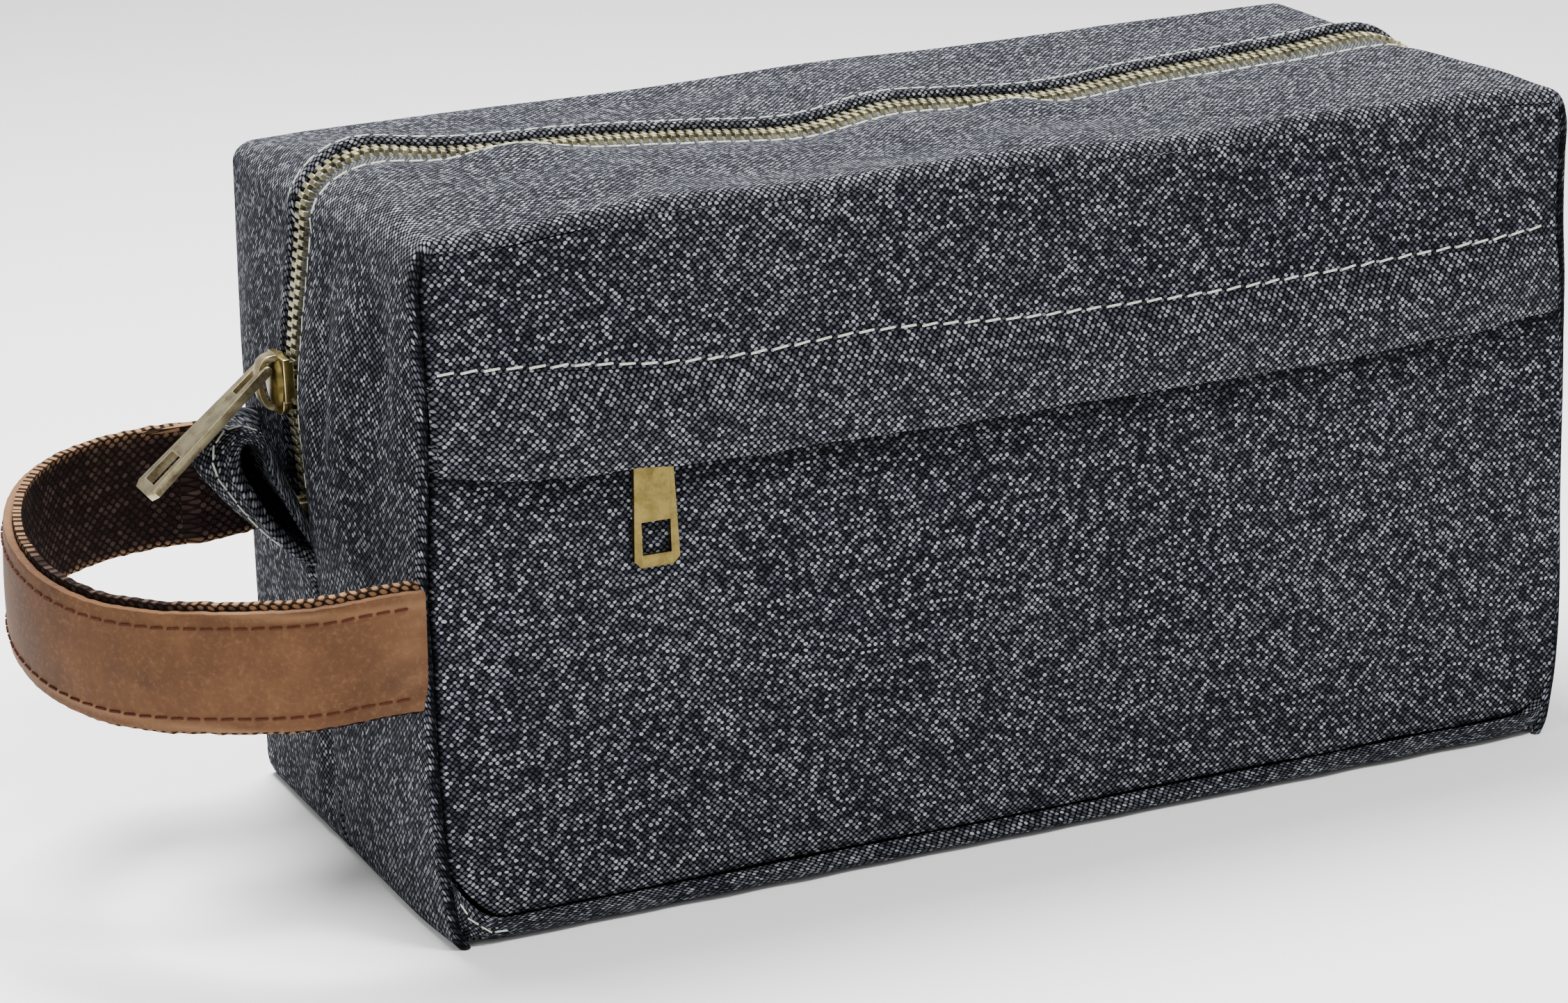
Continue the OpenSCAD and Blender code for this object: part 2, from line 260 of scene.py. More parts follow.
def thicken(obj, thick, edge=0.5):
    """Gives a sheet its thickness inwards and rounds its rim."""
    apply_modifier(obj, "SOLIDIFY", thickness=thick * MM, offset=-1, use_even_offset=True)
    if edge:
        apply_modifier(obj, "BEVEL", width=edge * MM, segments=2, limit_method="ANGLE",
                       angle_limit=math.radians(50))
    return obj


def joined(parts):
    deselect()
    for part in parts:
        part.select_set(True)
    bpy.context.view_layer.objects.active = parts[0]
    bpy.ops.object.join()
    return bpy.context.active_object


def copies(model, places):
    """Copies of a small model, each with its own mesh, joined into one piece."""
    parts = []
    for place in places:
        part = model.copy()
        part.data = model.data.copy()
        part.data.transform(place)
        bpy.context.scene.collection.objects.link(part)
        parts.append(part)
    bpy.data.objects.remove(model)
    return joined(parts)


def place_on(point, along, outward):
    """A matrix that sets a model's X along the line and its Z outwards, at a point in millimetres."""
    x = Vector(along).normalized()
    z = Vector(outward)
    z = (z - x * z.dot(x)).normalized()
    y = z.cross(x)
    turn = Matrix((x, y, z)).transposed().to_4x4()
    return Matrix.Translation(Vector(point) * MM) @ turn


# Shader maths

class Wire:
    """A shader value that Python's operators add Math nodes to."""

    def __init__(self, finish, socket):
        self.finish, self.socket = finish, socket

    def math(self, operation, *others):
        return self.finish.node("ShaderNodeMath", [self, *others], operation=operation)

    def __add__(self, other):
        return self.math("ADD", other)

    __radd__ = __add__

    def __mul__(self, other):
        return self.math("MULTIPLY", other)

    __rmul__ = __mul__

    def __sub__(self, other):
        return self.math("SUBTRACT", other)

    def __rsub__(self, other):
        return self.finish.node("ShaderNodeMath", [other, self], operation="SUBTRACT")

    def __truediv__(self, other):
        return self.math("DIVIDE", other)

    def __pow__(self, other):
        return self.math("POWER", other)


class Finish:
    """A material made of one Principled shader and the nodes before it."""

    def __init__(self, name, **constants):
        self.material = bpy.data.materials.new(name)
        self.material.use_nodes = True
        self.tree = self.material.node_tree
        self.shader = self.tree.nodes["Principled BSDF"]
        for socket, value in constants.items():
            self.shader.inputs[socket.replace("_", " ")].default_value = value

    def node(self, kind, inputs=(), out=0, stops=None, **settings):
        made = self.tree.nodes.new(kind)
        for name, value in settings.items():
            setattr(made, name, value)
        if stops:
            ramp = made.color_ramp.elements
            while len(ramp) < len(stops):
                ramp.new(0.5)
            for element, (place, colour) in zip(ramp, stops):
                element.position = place
                element.color = (*colour, 1)
        pairs = inputs.items() if isinstance(inputs, dict) else enumerate(inputs)
        for key, value in pairs:
            socket = made.inputs[key]
            if isinstance(value, Wire):
                self.tree.links.new(value.socket, socket)
            elif value is not None:
                socket.default_value = value
        return Wire(self, made.outputs[out])

    def mix(self, factor, first, second, blend="MIX"):
        first, second = ((*c, 1) if isinstance(c, tuple) else c for c in (first, second))
        return self.node("ShaderNodeMix", {0: factor, 6: first, 7: second}, out=2, data_type="RGBA",
                         blend_type=blend)

    def ramp(self, value, *stops):
        return self.node("ShaderNodeValToRGB", [value], stops=stops)

    def noise(self, where, scale, detail=2.0, roughness=0.5):
        return self.node("ShaderNodeTexNoise", {"Vector": where, "Scale": scale, "Detail": detail,
                                                "Roughness": roughness})

    def object_place(self):
        return self.node("ShaderNodeTexCoord", out=3)

    def bump(self, height, distance, strength=1.0):
        self.feed(Normal=self.node("ShaderNodeBump", {"Strength": strength, "Distance": distance * MM,
                                                      "Height": height}))

    def feed(self, **wires):
        for socket, wire in wires.items():
            self.tree.links.new(wire.socket, self.shader.inputs[socket.replace("_", " ")])


def woven(name, pitch, shade_colour, thread, fleck_and_glint, high, roughness=0.95, wander=1.0, wear_and_painted_light=0.5, gap=1.5):
    """Plain-woven cloth on the "cloth" map, whose unit is the millimetre: rounded grains in
    offset rows, each with its own shade."""
    made = Finish(name, Roughness=roughness, Specular_IOR_Level=0.06)
    cloth = made.node("ShaderNodeUVMap", uv_map="cloth")
    drift = made.node("ShaderNodeTexNoise", {"Vector": cloth, "Scale": 0.4, "Detail": 4.0, "Roughness": 0.6}, out=1)
    drift = made.node("ShaderNodeVectorMath", [drift, (0.5, 0.5, 0.5)], operation="SUBTRACT")
    drift = made.node("ShaderNodeVectorMath", {0: drift, "Scale": wander}, operation="SCALE")
    where = made.node("ShaderNodeVectorMath", [cloth, drift], operation="ADD")
    split = made.tree.nodes.new("ShaderNodeSeparateXYZ")
    made.tree.links.new(where.socket, split.inputs[0])
    across, up = Wire(made, split.outputs[0]) / pitch[0], Wire(made, split.outputs[1]) / pitch[1]
    grains, lots = [], []
    for shift in (0.0, 0.5):
        column, row = across + shift, up + shift
        x, z = column.math("FRACT") - 0.5, row.math("FRACT") - 0.5
        grains.append((x * x * 6.8 + z * z * 9.8) * -1.7 + 1.7)
        cell = made.node("ShaderNodeCombineXYZ", [column.math("FLOOR") + 71 * shift, row.math("FLOOR")])
        lots.append(made.node("ShaderNodeTexWhiteNoise", {"Vector": cell}, noise_dimensions="2D"))
    nearer = grains[0].math("GREATER_THAN", grains[1])
    lot = lots[1] + nearer * (lots[0] - lots[1])
    height = made.node("ShaderNodeClamp", [grains[0].math("MAXIMUM", grains[1])]) ** gap
    fuzz = made.noise(cloth, 3.2, 3.0, 0.75)
    fade = made.noise(cloth, 0.03, 4.0, 0.6)
    # Painted shade: the gaps between the grains take the near-black shade colour, as shade falls between them; the
    # raised grains take the thread colour.
    light = height * (0.13 + (lot ** 1.3) * 0.72) * (0.02 + fuzz * 1.75)
    colour = made.mix(made.node("ShaderNodeClamp", [light]), shade_colour, thread)
    # A few grains are painted bright: partly their own paler tone, partly painted glints on the fibres.
    colour = made.mix(made.node("ShaderNodeClamp", [(lot ** 5.0) * height * fuzz * 1.5]), colour, fleck_and_glint)
    wear_and_light = made.node("ShaderNodeAttribute", out=2, attribute_name="wear_and_painted_light")
    # Paler where the stored value is above 0: for wearing, and on the top faces as a painted highlight.
    wash_and_highlight = made.node("ShaderNodeClamp", [(wear_and_light * wear_and_painted_light + (fade - 0.50) * 0.30) * (0.01 + height * (0.45 + lot))])
    colour = made.mix(wash_and_highlight, colour, high)
    # Painted shade: where the stored value is below 0, as in seam grooves and under the pocket flap, the cloth goes
    # to the dark shade colour.
    colour = made.mix(made.node("ShaderNodeClamp", [wear_and_light * -0.9]), colour, shade_colour)
    made.feed(Base_Color=colour)
    made.bump(height + fuzz * 0.6, 0.6)
    return made.material


def leather_finish():
    made = Finish("tan_leather", Specular_IOR_Level=0.15)
    place = made.object_place()
    cloud = made.noise(place, 38, 5.0, 0.62)
    grain = made.noise(place, 900, 4.0, 0.7)
    smear = made.noise(place, 140, 4.0, 0.65)
    colour = made.ramp(cloud, (0.32, (0.050, 0.020, 0.007)), (0.5, (0.082, 0.035, 0.013)),
                       (0.68, (0.120, 0.055, 0.022)))
    colour = made.mix(made.node("ShaderNodeClamp", [(smear - 0.52) * 2.0]), colour, (0.045, 0.018, 0.007))
    colour = made.mix(made.node("ShaderNodeClamp", [(grain - 0.50) * 1.6]), colour, (0.19, 0.100, 0.048))
    wear_and_light = made.node("ShaderNodeAttribute", out=2, attribute_name="wear_and_painted_light")
    colour = made.mix(wear_and_light * 0.6, colour, (0.20, 0.105, 0.050))
    made.feed(Base_Color=colour, Roughness=0.58 + cloud * 0.25)
    made.bump(grain * 0.5 + smear * 0.8, 0.12)
    return made.material


def brass_finish(name, deep, face, roughness):
    made = Finish(name, Metallic=1.0)
    place = made.object_place()
    cloud = made.noise(place, 240, 4.0, 0.6)
    scratch = made.noise(place, 1500, 3.0, 0.7)
    colour = made.ramp(cloud * 0.75 + scratch * 0.25, (0.33, deep), (0.55, face))
    made.feed(Base_Color=colour, Roughness=roughness + cloud * 0.18)
    made.bump(scratch * 0.4 + cloud, 0.03)
    return made.material


def tape_finish():
    made = Finish("zip_tape", Roughness=0.85, Sheen_Weight=0.2)
    cloth = made.node("ShaderNodeUVMap", uv_map="cloth")
    split = made.tree.nodes.new("ShaderNodeSeparateXYZ")
    made.tree.links.new(cloth.socket, split.inputs[0])
    along, across = Wire(made, split.outputs[0]), Wire(made, split.outputs[1])
    zigzag = (across / 2.4).math("PINGPONG", 0.5) * 2.4
    rib = ((along + zigzag) * (2 * math.pi / 0.9)).math("SINE") * 0.5 + 0.5
    fuzz = made.noise(cloth, 3.0, 3.0, 0.6)
    colour = made.mix(rib * fuzz * 1.5, (0.018, 0.019, 0.022), (0.16, 0.165, 0.165))
    made.feed(Base_Color=colour)
    made.bump(rib, 0.12)
    return made.material


def thread_finish(name, colour, dark):
    made = Finish(name, Roughness=0.75, Specular_IOR_Level=0.12)
    fibre = made.noise(made.object_place(), 1800, 2.0, 0.6)
    made.feed(Base_Color=made.mix(fibre, dark, colour))
    made.bump(fibre, 0.05)
    return made.material


# woven's colours: painted shade for the gaps and grooves, the thread, bright grains with painted glints, and a paler
# colour for wearing and the painted highlight on the top.
CANVAS = woven("washed_canvas", (1.45, 1.46), (0.0006, 0.0008, 0.0016), (0.146, 0.154, 0.198),
               (0.50, 0.52, 0.57), (0.27, 0.28, 0.305))
LINING = woven("cotton_lining", (0.9, 1.0), (0.05, 0.035, 0.022), (0.24, 0.17, 0.11), (0.3, 0.23, 0.16),
               (0.24, 0.18, 0.12))
WEBBING = woven("brown_webbing", (2.2, 2.2), (0.010, 0.006, 0.005), (0.058, 0.035, 0.029),
                (0.08, 0.052, 0.042), (0.26, 0.145, 0.075), wander=0.5, wear_and_painted_light=1.6)
LEATHER = leather_finish()
BRASS = brass_finish("antique_brass", (0.15, 0.115, 0.055), (0.42, 0.36, 0.215), 0.26)
AGED = brass_finish("aged_brass", (0.075, 0.054, 0.015), (0.175, 0.132, 0.040), 0.30)
BRIGHT = brass_finish("rubbed_brass", (0.60, 0.50, 0.28), (0.92, 0.80, 0.52), 0.22)
TEETH = brass_finish("tooth_brass", (0.13, 0.118, 0.066), (0.42, 0.39, 0.25), 0.36)
TAPE = tape_finish()
CREAM = thread_finish("cream_thread", (0.72, 0.73, 0.63), (0.42, 0.43, 0.36))
RUST = thread_finish("rust_thread", (0.085, 0.022, 0.009), (0.030, 0.008, 0.004))


def mark_wear_and_light(obj, amount):
    """Stores a value at each point for the finishes to read: above 0 the cloth is paler, for its wearing and, on the
    top faces, a painted highlight;
    below 0 it is painted shade, as in a seam groove or under the pocket flap."""
    attribute = obj.data.attributes.new("wear_and_painted_light", "FLOAT", "POINT")
    attribute.data.foreach_set("value", np.clip(amount(get_points(obj)), -1, 1).astype(np.float32))
    return obj


# Canvas of the front and back

left_seam = smooth_curve((0, -131.6), (12, -132.9), (25, -133.9), (60, -134.2), (78, -134.2), (89, -133.4),
                         (99, -132.6), (118, -132.1), (130, -132.6), (140, -132.6), (147, -131.4))
right_seam = smooth_curve((0, 132.5), (15, 134.4), (60, 135.3), (85, 135.0), (105, 133.8), (120, 132.8),
                          (134, 133.0), (142, 133.4), (147, 132.6))
flap_low = smooth_curve((-131, 100.5), (-118, 99), (-85, 97), (0, 96.8), (100, 98.2), (131, 100))
right_reach = smooth_curve((0, 0.4), (25, 0.2), (60, -0.5), (90, -0.2), (112, 0.9), (147, 1.0))
stitch_height = smooth_curve((-130, 121.5), (-98, 119.4), (-82, 117.6), (-66, 116.9), (-37, 118.1), (0, 116.2),
                             (36, 115.7), (75, 116.4), (115, 118.2), (130, 119.2))


def tuck(distance, width, depth):
    """How far a sheet's edge rolls in towards its seam."""
    t = 1 - np.clip(distance / width, 0, 1)
    return depth * (1 - np.sqrt(1 - t * t * 0.96))


def seams(side, z):
    """X of the two upright seams of the front or back."""
    z = np.asarray(z, float)
    return (left_seam(z), right_seam(z)) if side < 0 else (-131.8 + 0 * z, 133.2 + 0 * z)


def groove(x):
    """Height of the groove over the welt, which runs up into both corners."""
    return 4.6 + 11 * np.clip((-121 - x) / 12, 0, 1) ** 2 + 8 * np.clip((x - 124) / 10, 0, 1) ** 2


def wall_face(x, z, side):
    """Y of the outer face of the front (side -1) or back (side 1)."""
    base = FRONT_Y if side < 0 else BACK_Y
    swell = hill(z, 48, 34) if side < 0 else 1.3 * hill(z, 60, 60)
    belly = 1.7 * (1 - np.clip(np.abs(x) / 134, 0, 1) ** 4) * swell
    waves = ripple(x, z, 21 + side, 85) * 0.8 + ripple(x, z, 33 + side, 34) * 0.35
    calm = 1 - 0.9 * hill(x, -85, 15) * hill(z, 97, 24) * (side < 0)
    left, right = seams(side, z)
    inner = np.clip(np.minimum(x - left, right - x) / 14, 0, 1)
    rolled = tuck(x - left, 1.5, 4.6) + tuck(right - x, 1.5, 4.6) + tuck(z - groove(x), 5.0, 3.8)
    proud = (belly + waves * np.clip((147 - z) / 16, 0, 1)) * inner * calm
    return base + side * (proud - rolled)


def wall_wear_and_shade(points):
    x, y, z = points.T
    edge = 0.5 * hill(z, groove(x) + 2.5, 2) + 0.4 * hill(z, 148, 1.5)
    # Painted shade: dark lines along the upright seam grooves and along the groove over the welt.
    fold = hill(x, left_seam(z), 1.3) + hill(x, right_seam(z), 1.1) + hill(z, groove(x), 1.2)
    # Painted shadow: darker on the front just below the pocket flap's lower edge, and fully behind the flap up to
    # its stitch line.
    under = np.where(z < flap_low(x), hill(z, flap_low(x), 3.5), 1) * (z < stitch_height(x) - 2)
    return edge * 0.6 + 0.08 + 0.10 * ripple(x, z, 8, 90) - 1.3 * fold - 0.75 * under * (y < 0)


def wall_sheet(side, low, high):
    """Shape of a stretch of the front or back between two lines of height."""
    def shape(u, v):
        v = v - 0.86 * np.sin(2 * np.pi * v) / (2 * np.pi)
        left, right = seams(side, 70)
        x_mid = left + (right - left) * v
        z = low(x_mid) + (high(x_mid) - low(x_mid)) * u
        left, right = seams(side, z)
        x = left + (right - left) * v
        return x, wall_face(x, z, side), z
    return shape


def fold_stand(x, z):
    """How far the upper front stands off at the flap's fold."""
    drop = z - (stitch_height(x) - 1.2)
    return 0.9 * (1 - ease(drop / 9)) * np.clip((131 - np.abs(x)) / 12, 0, 1)


def make_walls():
    def lower_top(x):
        return 103.0 + (stitch_height(x) - 104.2) * ease((np.abs(x) - 123) / 5)
    lower = cloth_grid(80, 240, wall_sheet(-1, groove, lower_top), (0, -1, 0), upright=True)
    mark_wear_and_light(thicken(lower, SHEET, 0.3), wall_wear_and_shade)
    finish_piece(lower, "pocket_front_canvas", "bag", CANVAS, ["front_lower_panel"])

    plain = wall_sheet(-1, lambda x: stitch_height(x) - 1.2, lambda x: crease_top(x) - CREASE_R)

    def upper_shape(u, v):
        x, y, z = plain(u, v)
        return x, y - fold_stand(x, z), z
    upper = cloth_grid(28, 200, upper_shape, (0, -1, 0), upright=True)
    mark_wear_and_light(thicken(upper, SHEET, 0), wall_wear_and_shade)
    finish_piece(upper, "upper_front_canvas", "bag", CANVAS, ["front_upper_panel", "flap_edge_strip"])

    facing = cloth_grid(6, 60, lambda u, v: (-128 + 256 * v, FRONT_Y + 0.4 + 0 * u, 111.4 + 8 * u), (0, -1, 0))
    mark_wear_and_light(thicken(facing, 1.2, 0.3), lambda p: 0 * p[:, 0])
    finish_piece(facing, "pocket_zip_facing", "bag", CANVAS)

    back = cloth_grid(100, 200, wall_sheet(1, lambda x: 4.0 + 0 * x, lambda x: rear_crease_top(x) - CREASE_R),
                      (0, 1, 0), upright=True)
    mark_wear_and_light(thicken(back, SHEET, 0), wall_wear_and_shade)
    finish_piece(back, "back_canvas", "bag", CANVAS, ["back_panel"])

    def base_shape(u, v):
        x, y = 133 * (2 * v - 1), 59 * (2 * u - 1)
        rise = tuck(133 - np.abs(x), 4, 1.5) + tuck(59 - np.abs(y), 4, 1.5)
        sag = 0.35 * (1 + ripple(x, y, 12, 60)) * np.clip((130 - np.abs(x)) / 30, 0, 1)
        return x, y, 0.1 + rise + sag
    base = cloth_grid(60, 130, base_shape, (0, 0, -1))
    mark_wear_and_light(thicken(base, SHEET, 0.3), lambda p: 0.2 + 0 * p[:, 0])
    finish_piece(base, "base_canvas", "bag", CANVAS, ["bottom_panel"])


make_walls()


# Welt along the foot of the front and of the back

def welt_lines(side, t):
    """The groove over the welt and the outline under it, as (x, z) pairs for t from 0 to 1."""
    x_groove = -132.6 + 265.8 * t
    corner = 0.055
    top = groove(x_groove) + 0.3
    x_foot = np.where(t < corner, -132.8, np.where(t > 1 - corner, 133.4,
                                                   -132.8 + 266.2 * (t - corner) / (1 - 2 * corner)))
    z_foot = np.where(t < corner, 14 * (1 - t / corner), np.where(t > 1 - corner, 10 * (t - 1 + corner) / corner, 0))
    soft = 2.5 * (hill(t, corner, 0.02) - hill(t, 1 - corner, 0.02))
    return (x_groove, top), (x_foot + soft, z_foot + 0.3 + 1.4 * np.abs(soft) / 2.5)


def welt_shape(side):
    base = FRONT_Y if side < 0 else BACK_Y

    def shape(u, v):
        (xg, zg), (xf, zf) = welt_lines(side, v)
        x, z = xg + (xf - xg) * u, zg + (zf - zg) * u
        ridge = np.sin(np.pi * np.clip(0.10 + 0.86 * u, 0, 1)) ** 0.55
        y = base + side * (-3.0 + 3.6 * ridge * (1 - 0.5 * hill(v, 1, 0.03)) + 0.3 * ripple(x, z, 15, 14) * ridge)
        return x, y, z
    return shape


def welt_stitch_line(side, share, first=0.03, last=0.97):
    shape = welt_shape(side)

    def line(t):
        return np.stack(shape(share + 0 * t, first + (last - first) * t), 1), np.array([0, float(side), -0.25])
    return line


for side, side_name in ((-1, "front"), (1, "back")):
    welt = cloth_grid(12, 200, welt_shape(side), (0, side, 0))
    mark_wear_and_light(thicken(welt, 1.0, 0.3), lambda p: 0.25 + 0.3 * ripple(p[:, 0], p[:, 2], 17, 30))
    finish_piece(welt, f"{side_name}_welt", "bag", CANVAS, ["bottom_welt"])


# Each end half and the top half beside it are one sheet, from the base to the middle of the bag

def bend_size(y):
    """How far the bend reaches in from the end, and down from the top."""
    c = crown(y, 1.3)
    return 4.5 + 12.0 * c, 4.5 + 8.5 * c


def end_half_length(side, y, z):
    """Distance from the middle of the bag to the outer face of an end."""
    y, z = np.asarray(y, float), np.asarray(z, float)
    edge = 132.6 + 2.0 * (1 - z / 150) + (1.6 if side > 0 else 0)
    flat = np.clip(1 - (np.abs(y) / 60) ** 2.4, 0, 1) ** 0.75
    return edge + end_bulge(z) * flat


def strip_profile(side, y, place):
    """Point and outward direction in the XZ plane. Place runs from 0 at the base to 1 where
    the bend starts, 2 where it meets the top and 3 at the middle of the bag."""
    y, place = np.broadcast_arrays(np.asarray(y, float), np.asarray(place, float))
    across, down = bend_size(y)
    low = top_height(side * 128.0, y) - down
    reach_low = end_half_length(side, y, low)
    x_start = reach_low - across
    z_wall = np.clip(place, 0, 1) * low
    wall = place < 1
    turn = np.clip(place - 1, 0, 1) * np.pi / 2
    x_top = x_start * (1 - np.clip(place - 2, 0, 1))
    top_z = top_height(side * x_top, y)
    edge_top = top_height(side * x_start, y)
    x = np.where(wall, end_half_length(side, y, z_wall), np.where(place < 2, reach_low - across * (1 - np.cos(turn)), x_top))
    z = np.where(wall, z_wall, np.where(place < 2, low + (edge_top - low) * np.sin(turn), top_z))
    return x * side, z, np.cos(turn) * side, np.sin(turn)


front_gap = smooth_curve((0, 0), (60, 0), (72, 2.4), (86, 4.6), (98, 4.4), (116, 3.9), (136, 4.6), (150, 5.8),
                         (162, 5.8), (180, 4.4), (200, 3.5), (400, 3.5))
rear_gap = smooth_curve((0, 0), (56, 0), (66, 2.8), (80, 6.0), (98, 4.6), (116, 3.6), (136, 3.3), (400, 3.1))


def hem_gap(half, run):
    """How far a hem stands from the teeth's line; run is the height up the end, then
    the distance on along the top."""
    return front_gap(run) if half < 0 else rear_gap(run)


def run_of(x, z, place):
    return np.where(place < 1, z, 138 + np.where(place < 2, (place - 1) * 14, 14 + (125 - np.abs(x))))


def zip_line_y(x, place):
    return np.where(place < 2, 5.0, zip_side(x))


def hem_lift(half, x, y, place, hem):
    """How far the cloth near the hem stands above the plain surface."""
    from_edge = np.abs(y - hem)
    on_top = ease((place - 1.2) / 0.8)
    if half < 0:
        bulge = (3.0 * hill(x, -90, 13) + 2.0 * hill(x, 29, 9)) * on_top
        sunk = -0.2 - 0.8 * on_top
        return sunk * np.exp(-(from_edge / 7) ** 2) + bulge * np.exp(-(from_edge / 11) ** 2)
    lip = (0.8 + 1.3 * on_top) * np.exp(-(from_edge / 4.6) ** 4) + 0.5 * np.exp(-(from_edge / 12) ** 2)
    return lip * np.clip(place * 1.6 - 0.75, 0, 1)


def end_detail(side, half, y, z, place):
    """Puffs and pleats of an end below its zip."""
    on_wall = ease((1 - place) * 6)
    if half < 0:
        puff = 2.2 * hill(z, 86, 22) * hill(y, -13, 14) - 2.2 * hill(z, 112, 24) * hill(y, -15, 5)
        puff = puff + 2.2 * hill(z, 114, 28) * hill(y, -28, 8) - 2.0 * hill(z, 120, 18) * hill(y, -43, 6)
        puff = puff - 1.2 * hill(z, 52, 14) * hill(y - 0.5 * (z - 52), -22, 7)
    else:
        puff = 1.2 * hill(z, 100, 26) * hill(y, 28, 16)
    pleat = -2.0 * hill(y, ZIP_Y + 0.12 * (60 - z), 4) * np.clip((66 - z) / 16, 0, 1) * np.clip(z / 20, 0, 1)
    return (puff + pleat) * on_wall


HEM_TURN = 0.86
EDGE_TURN = 0.12


def strip_shape(side, half):
    edge_y = FRONT_Y if half < 0 else BACK_Y
    toward = -half
    radius = 1.1 if half < 0 else 1.35

    def shape(u, v):
        place = np.where(v < 0.5, v / 0.5, np.where(v < 0.62, 1 + (v - 0.5) / 0.12, 2 + (v - 0.62) / 0.38))
        x0, z0, _, _ = strip_profile(side, 5.0, place)
        run = run_of(x0, z0, place)
        hem = zip_line_y(x0, place) + half * hem_gap(half, run)
        roll = 1.25 + 1.75 * np.clip(place - 1, 0, 1)
        dive = -88 * (1 - ease((place - 1) * 1.2))
        inner = edge_y - half * roll
        start = hem - toward * radius
        past, drop = hem_roll(np.clip((u - HEM_TURN) / (1 - HEM_TURN), 0, 1) * (np.pi * radius + 4.0), radius)
        flat_u = np.clip((u - EDGE_TURN) / (HEM_TURN - EDGE_TURN), 0, 1)
        turn = np.radians(dive + (90 - dive) * np.clip(u / EDGE_TURN, 0, 1))
        y = np.where(u < EDGE_TURN, inner + half * roll * np.cos(turn),
                     np.where(u < HEM_TURN, inner + (start - inner) * flat_u, start + toward * past))
        over = np.where(u < EDGE_TURN, inner, y)
        x, z, nx, nz = strip_profile(side, over, place)
        sink = np.where(u < EDGE_TURN, roll * (1 - np.sin(turn)), drop)
        waves = ripple(y, z, 40 + 3 * side + half, 55) * 0.7 + ripple(y, z, 50 + 3 * side + half, 24) * 0.3
        calm = np.clip(flat_u / 0.25, 0, 1) * np.clip((1.02 - flat_u) * 4, 0, 1) * ease(place * 6) * ease((1 - place) * 5)
        lift = waves * calm - sink + end_detail(side, half, y, z, place) * np.clip(flat_u * 6, 0, 1)
        lift = lift + hem_lift(half, x, y, place, hem)
        if half < 0:
            left, right = seams(-1, z)
            reach = 1.65 - left if side < 0 else right + right_reach(z)
            trim = reach - end_half_length(side, edge_y, z)
            lift = lift + trim * hill(over, edge_y, 14) * (1 - np.clip(place - 1, 0, 1))
        foot = tuck(z - 0.6, 5, 2.0) * (place < 1)
        return x + nx * lift - side * foot, y, z + nz * lift
    return shape


def strip_wear_light_and_shade(points):
    x, y, z = points.T
    top = ease((z - 141) / 7)
    # Painted highlight: the top faces are painted lighter, as the light from above falls on them.
    corner = hill(z, 150, 7) * hill(np.abs(x), 130, 8)
    rims = (hill(y, FRONT_Y + 1.5, 1.5) + hill(y, BACK_Y - 1.5, 1.5)) * (0.4 + 0.6 * ease((150 - z) / 8))
    # Painted shade: a dark line along the upright seam grooves, below the top.
    seam = np.where(x < 0, x - left_seam(z), x - right_seam(z))
    fold = hill(seam, 0, 1.0) * (y < FRONT_Y + 3) * (z < 146)
    return 0.14 + 0.29 * top + 0.20 * corner + 0.18 * rims + 0.12 * ripple(x + z, y, 3, 60) - 1.6 * fold


def mouth(half):
    return "mouth_front" if half < 0 else "mouth_rear"


def crossing(half, side):
    """Arguments of a blend from the still end of the bag to the swinging half; finish_piece only bakes in the
    transform of a piece given them.
    """
    return ("bag", mouth(half), (side * 122 * MM, 0, 0), (side * 55 * MM, 0, 0))


for half, half_name in ((-1, "front"), (1, "rear")):
    for side, side_name in ((-1, "left"), (1, "right")):
        piece = cloth_grid(56, 230, strip_shape(side, half), (side * 0.7, 0, 0.7), side)
        mark_wear_and_light(thicken(piece, 1.0, 0), strip_wear_light_and_shade)
        nodes = [f"top_{half_name}_panel", f"{side_name}_end_panel"]
        finish_piece(piece, f"{half_name}_canvas_{side_name}", crossing(half, side), CANVAS, nodes)


# Main zip: tape, teeth and hem stitches follow one line from each end to the middle

def place_of(v):
    """Place on a strip's path for v from 0 at the base to 1 at the middle of the bag."""
    return np.where(v < 0.5, v / 0.5, np.where(v < 0.62, 1 + (v - 0.5) / 0.12, 2 + (v - 0.62) / 0.38))


def opened(side, z):
    """How far each row of teeth has parted below the slider."""
    return np.clip((SLIDER[2] - 6 - z) * 0.05, 0, 1.2) * (side < 0)


def zip_surface(side, half, place, off, lift):
    """Points beside the teeth's line: off runs away from the line and lift outwards."""
    x0, z0, _, _ = strip_profile(side, 5.0, place)
    y = zip_line_y(x0, place) + half * off
    x, z, nx, nz = strip_profile(side, y, place)
    return np.stack([x + nx * lift, y, z + nz * lift], -1), np.stack([nx, 0 * nx, nz], -1), (x0, z0)


def evened(points, outs, step, first):
    """Points, ways and outward directions at equal steps along a dense line."""
    reach = np.concatenate([[0], np.cumsum(np.linalg.norm(np.diff(points, axis=0), axis=1))])
    at = np.arange(first, reach[-1], step)
    pick = lambda s, table: np.stack([np.interp(s, reach, table[:, k]) for k in range(3)], 1)
    return pick(at, points), pick(at + 0.3, points) - pick(at - 0.3, points), pick(at, outs), at


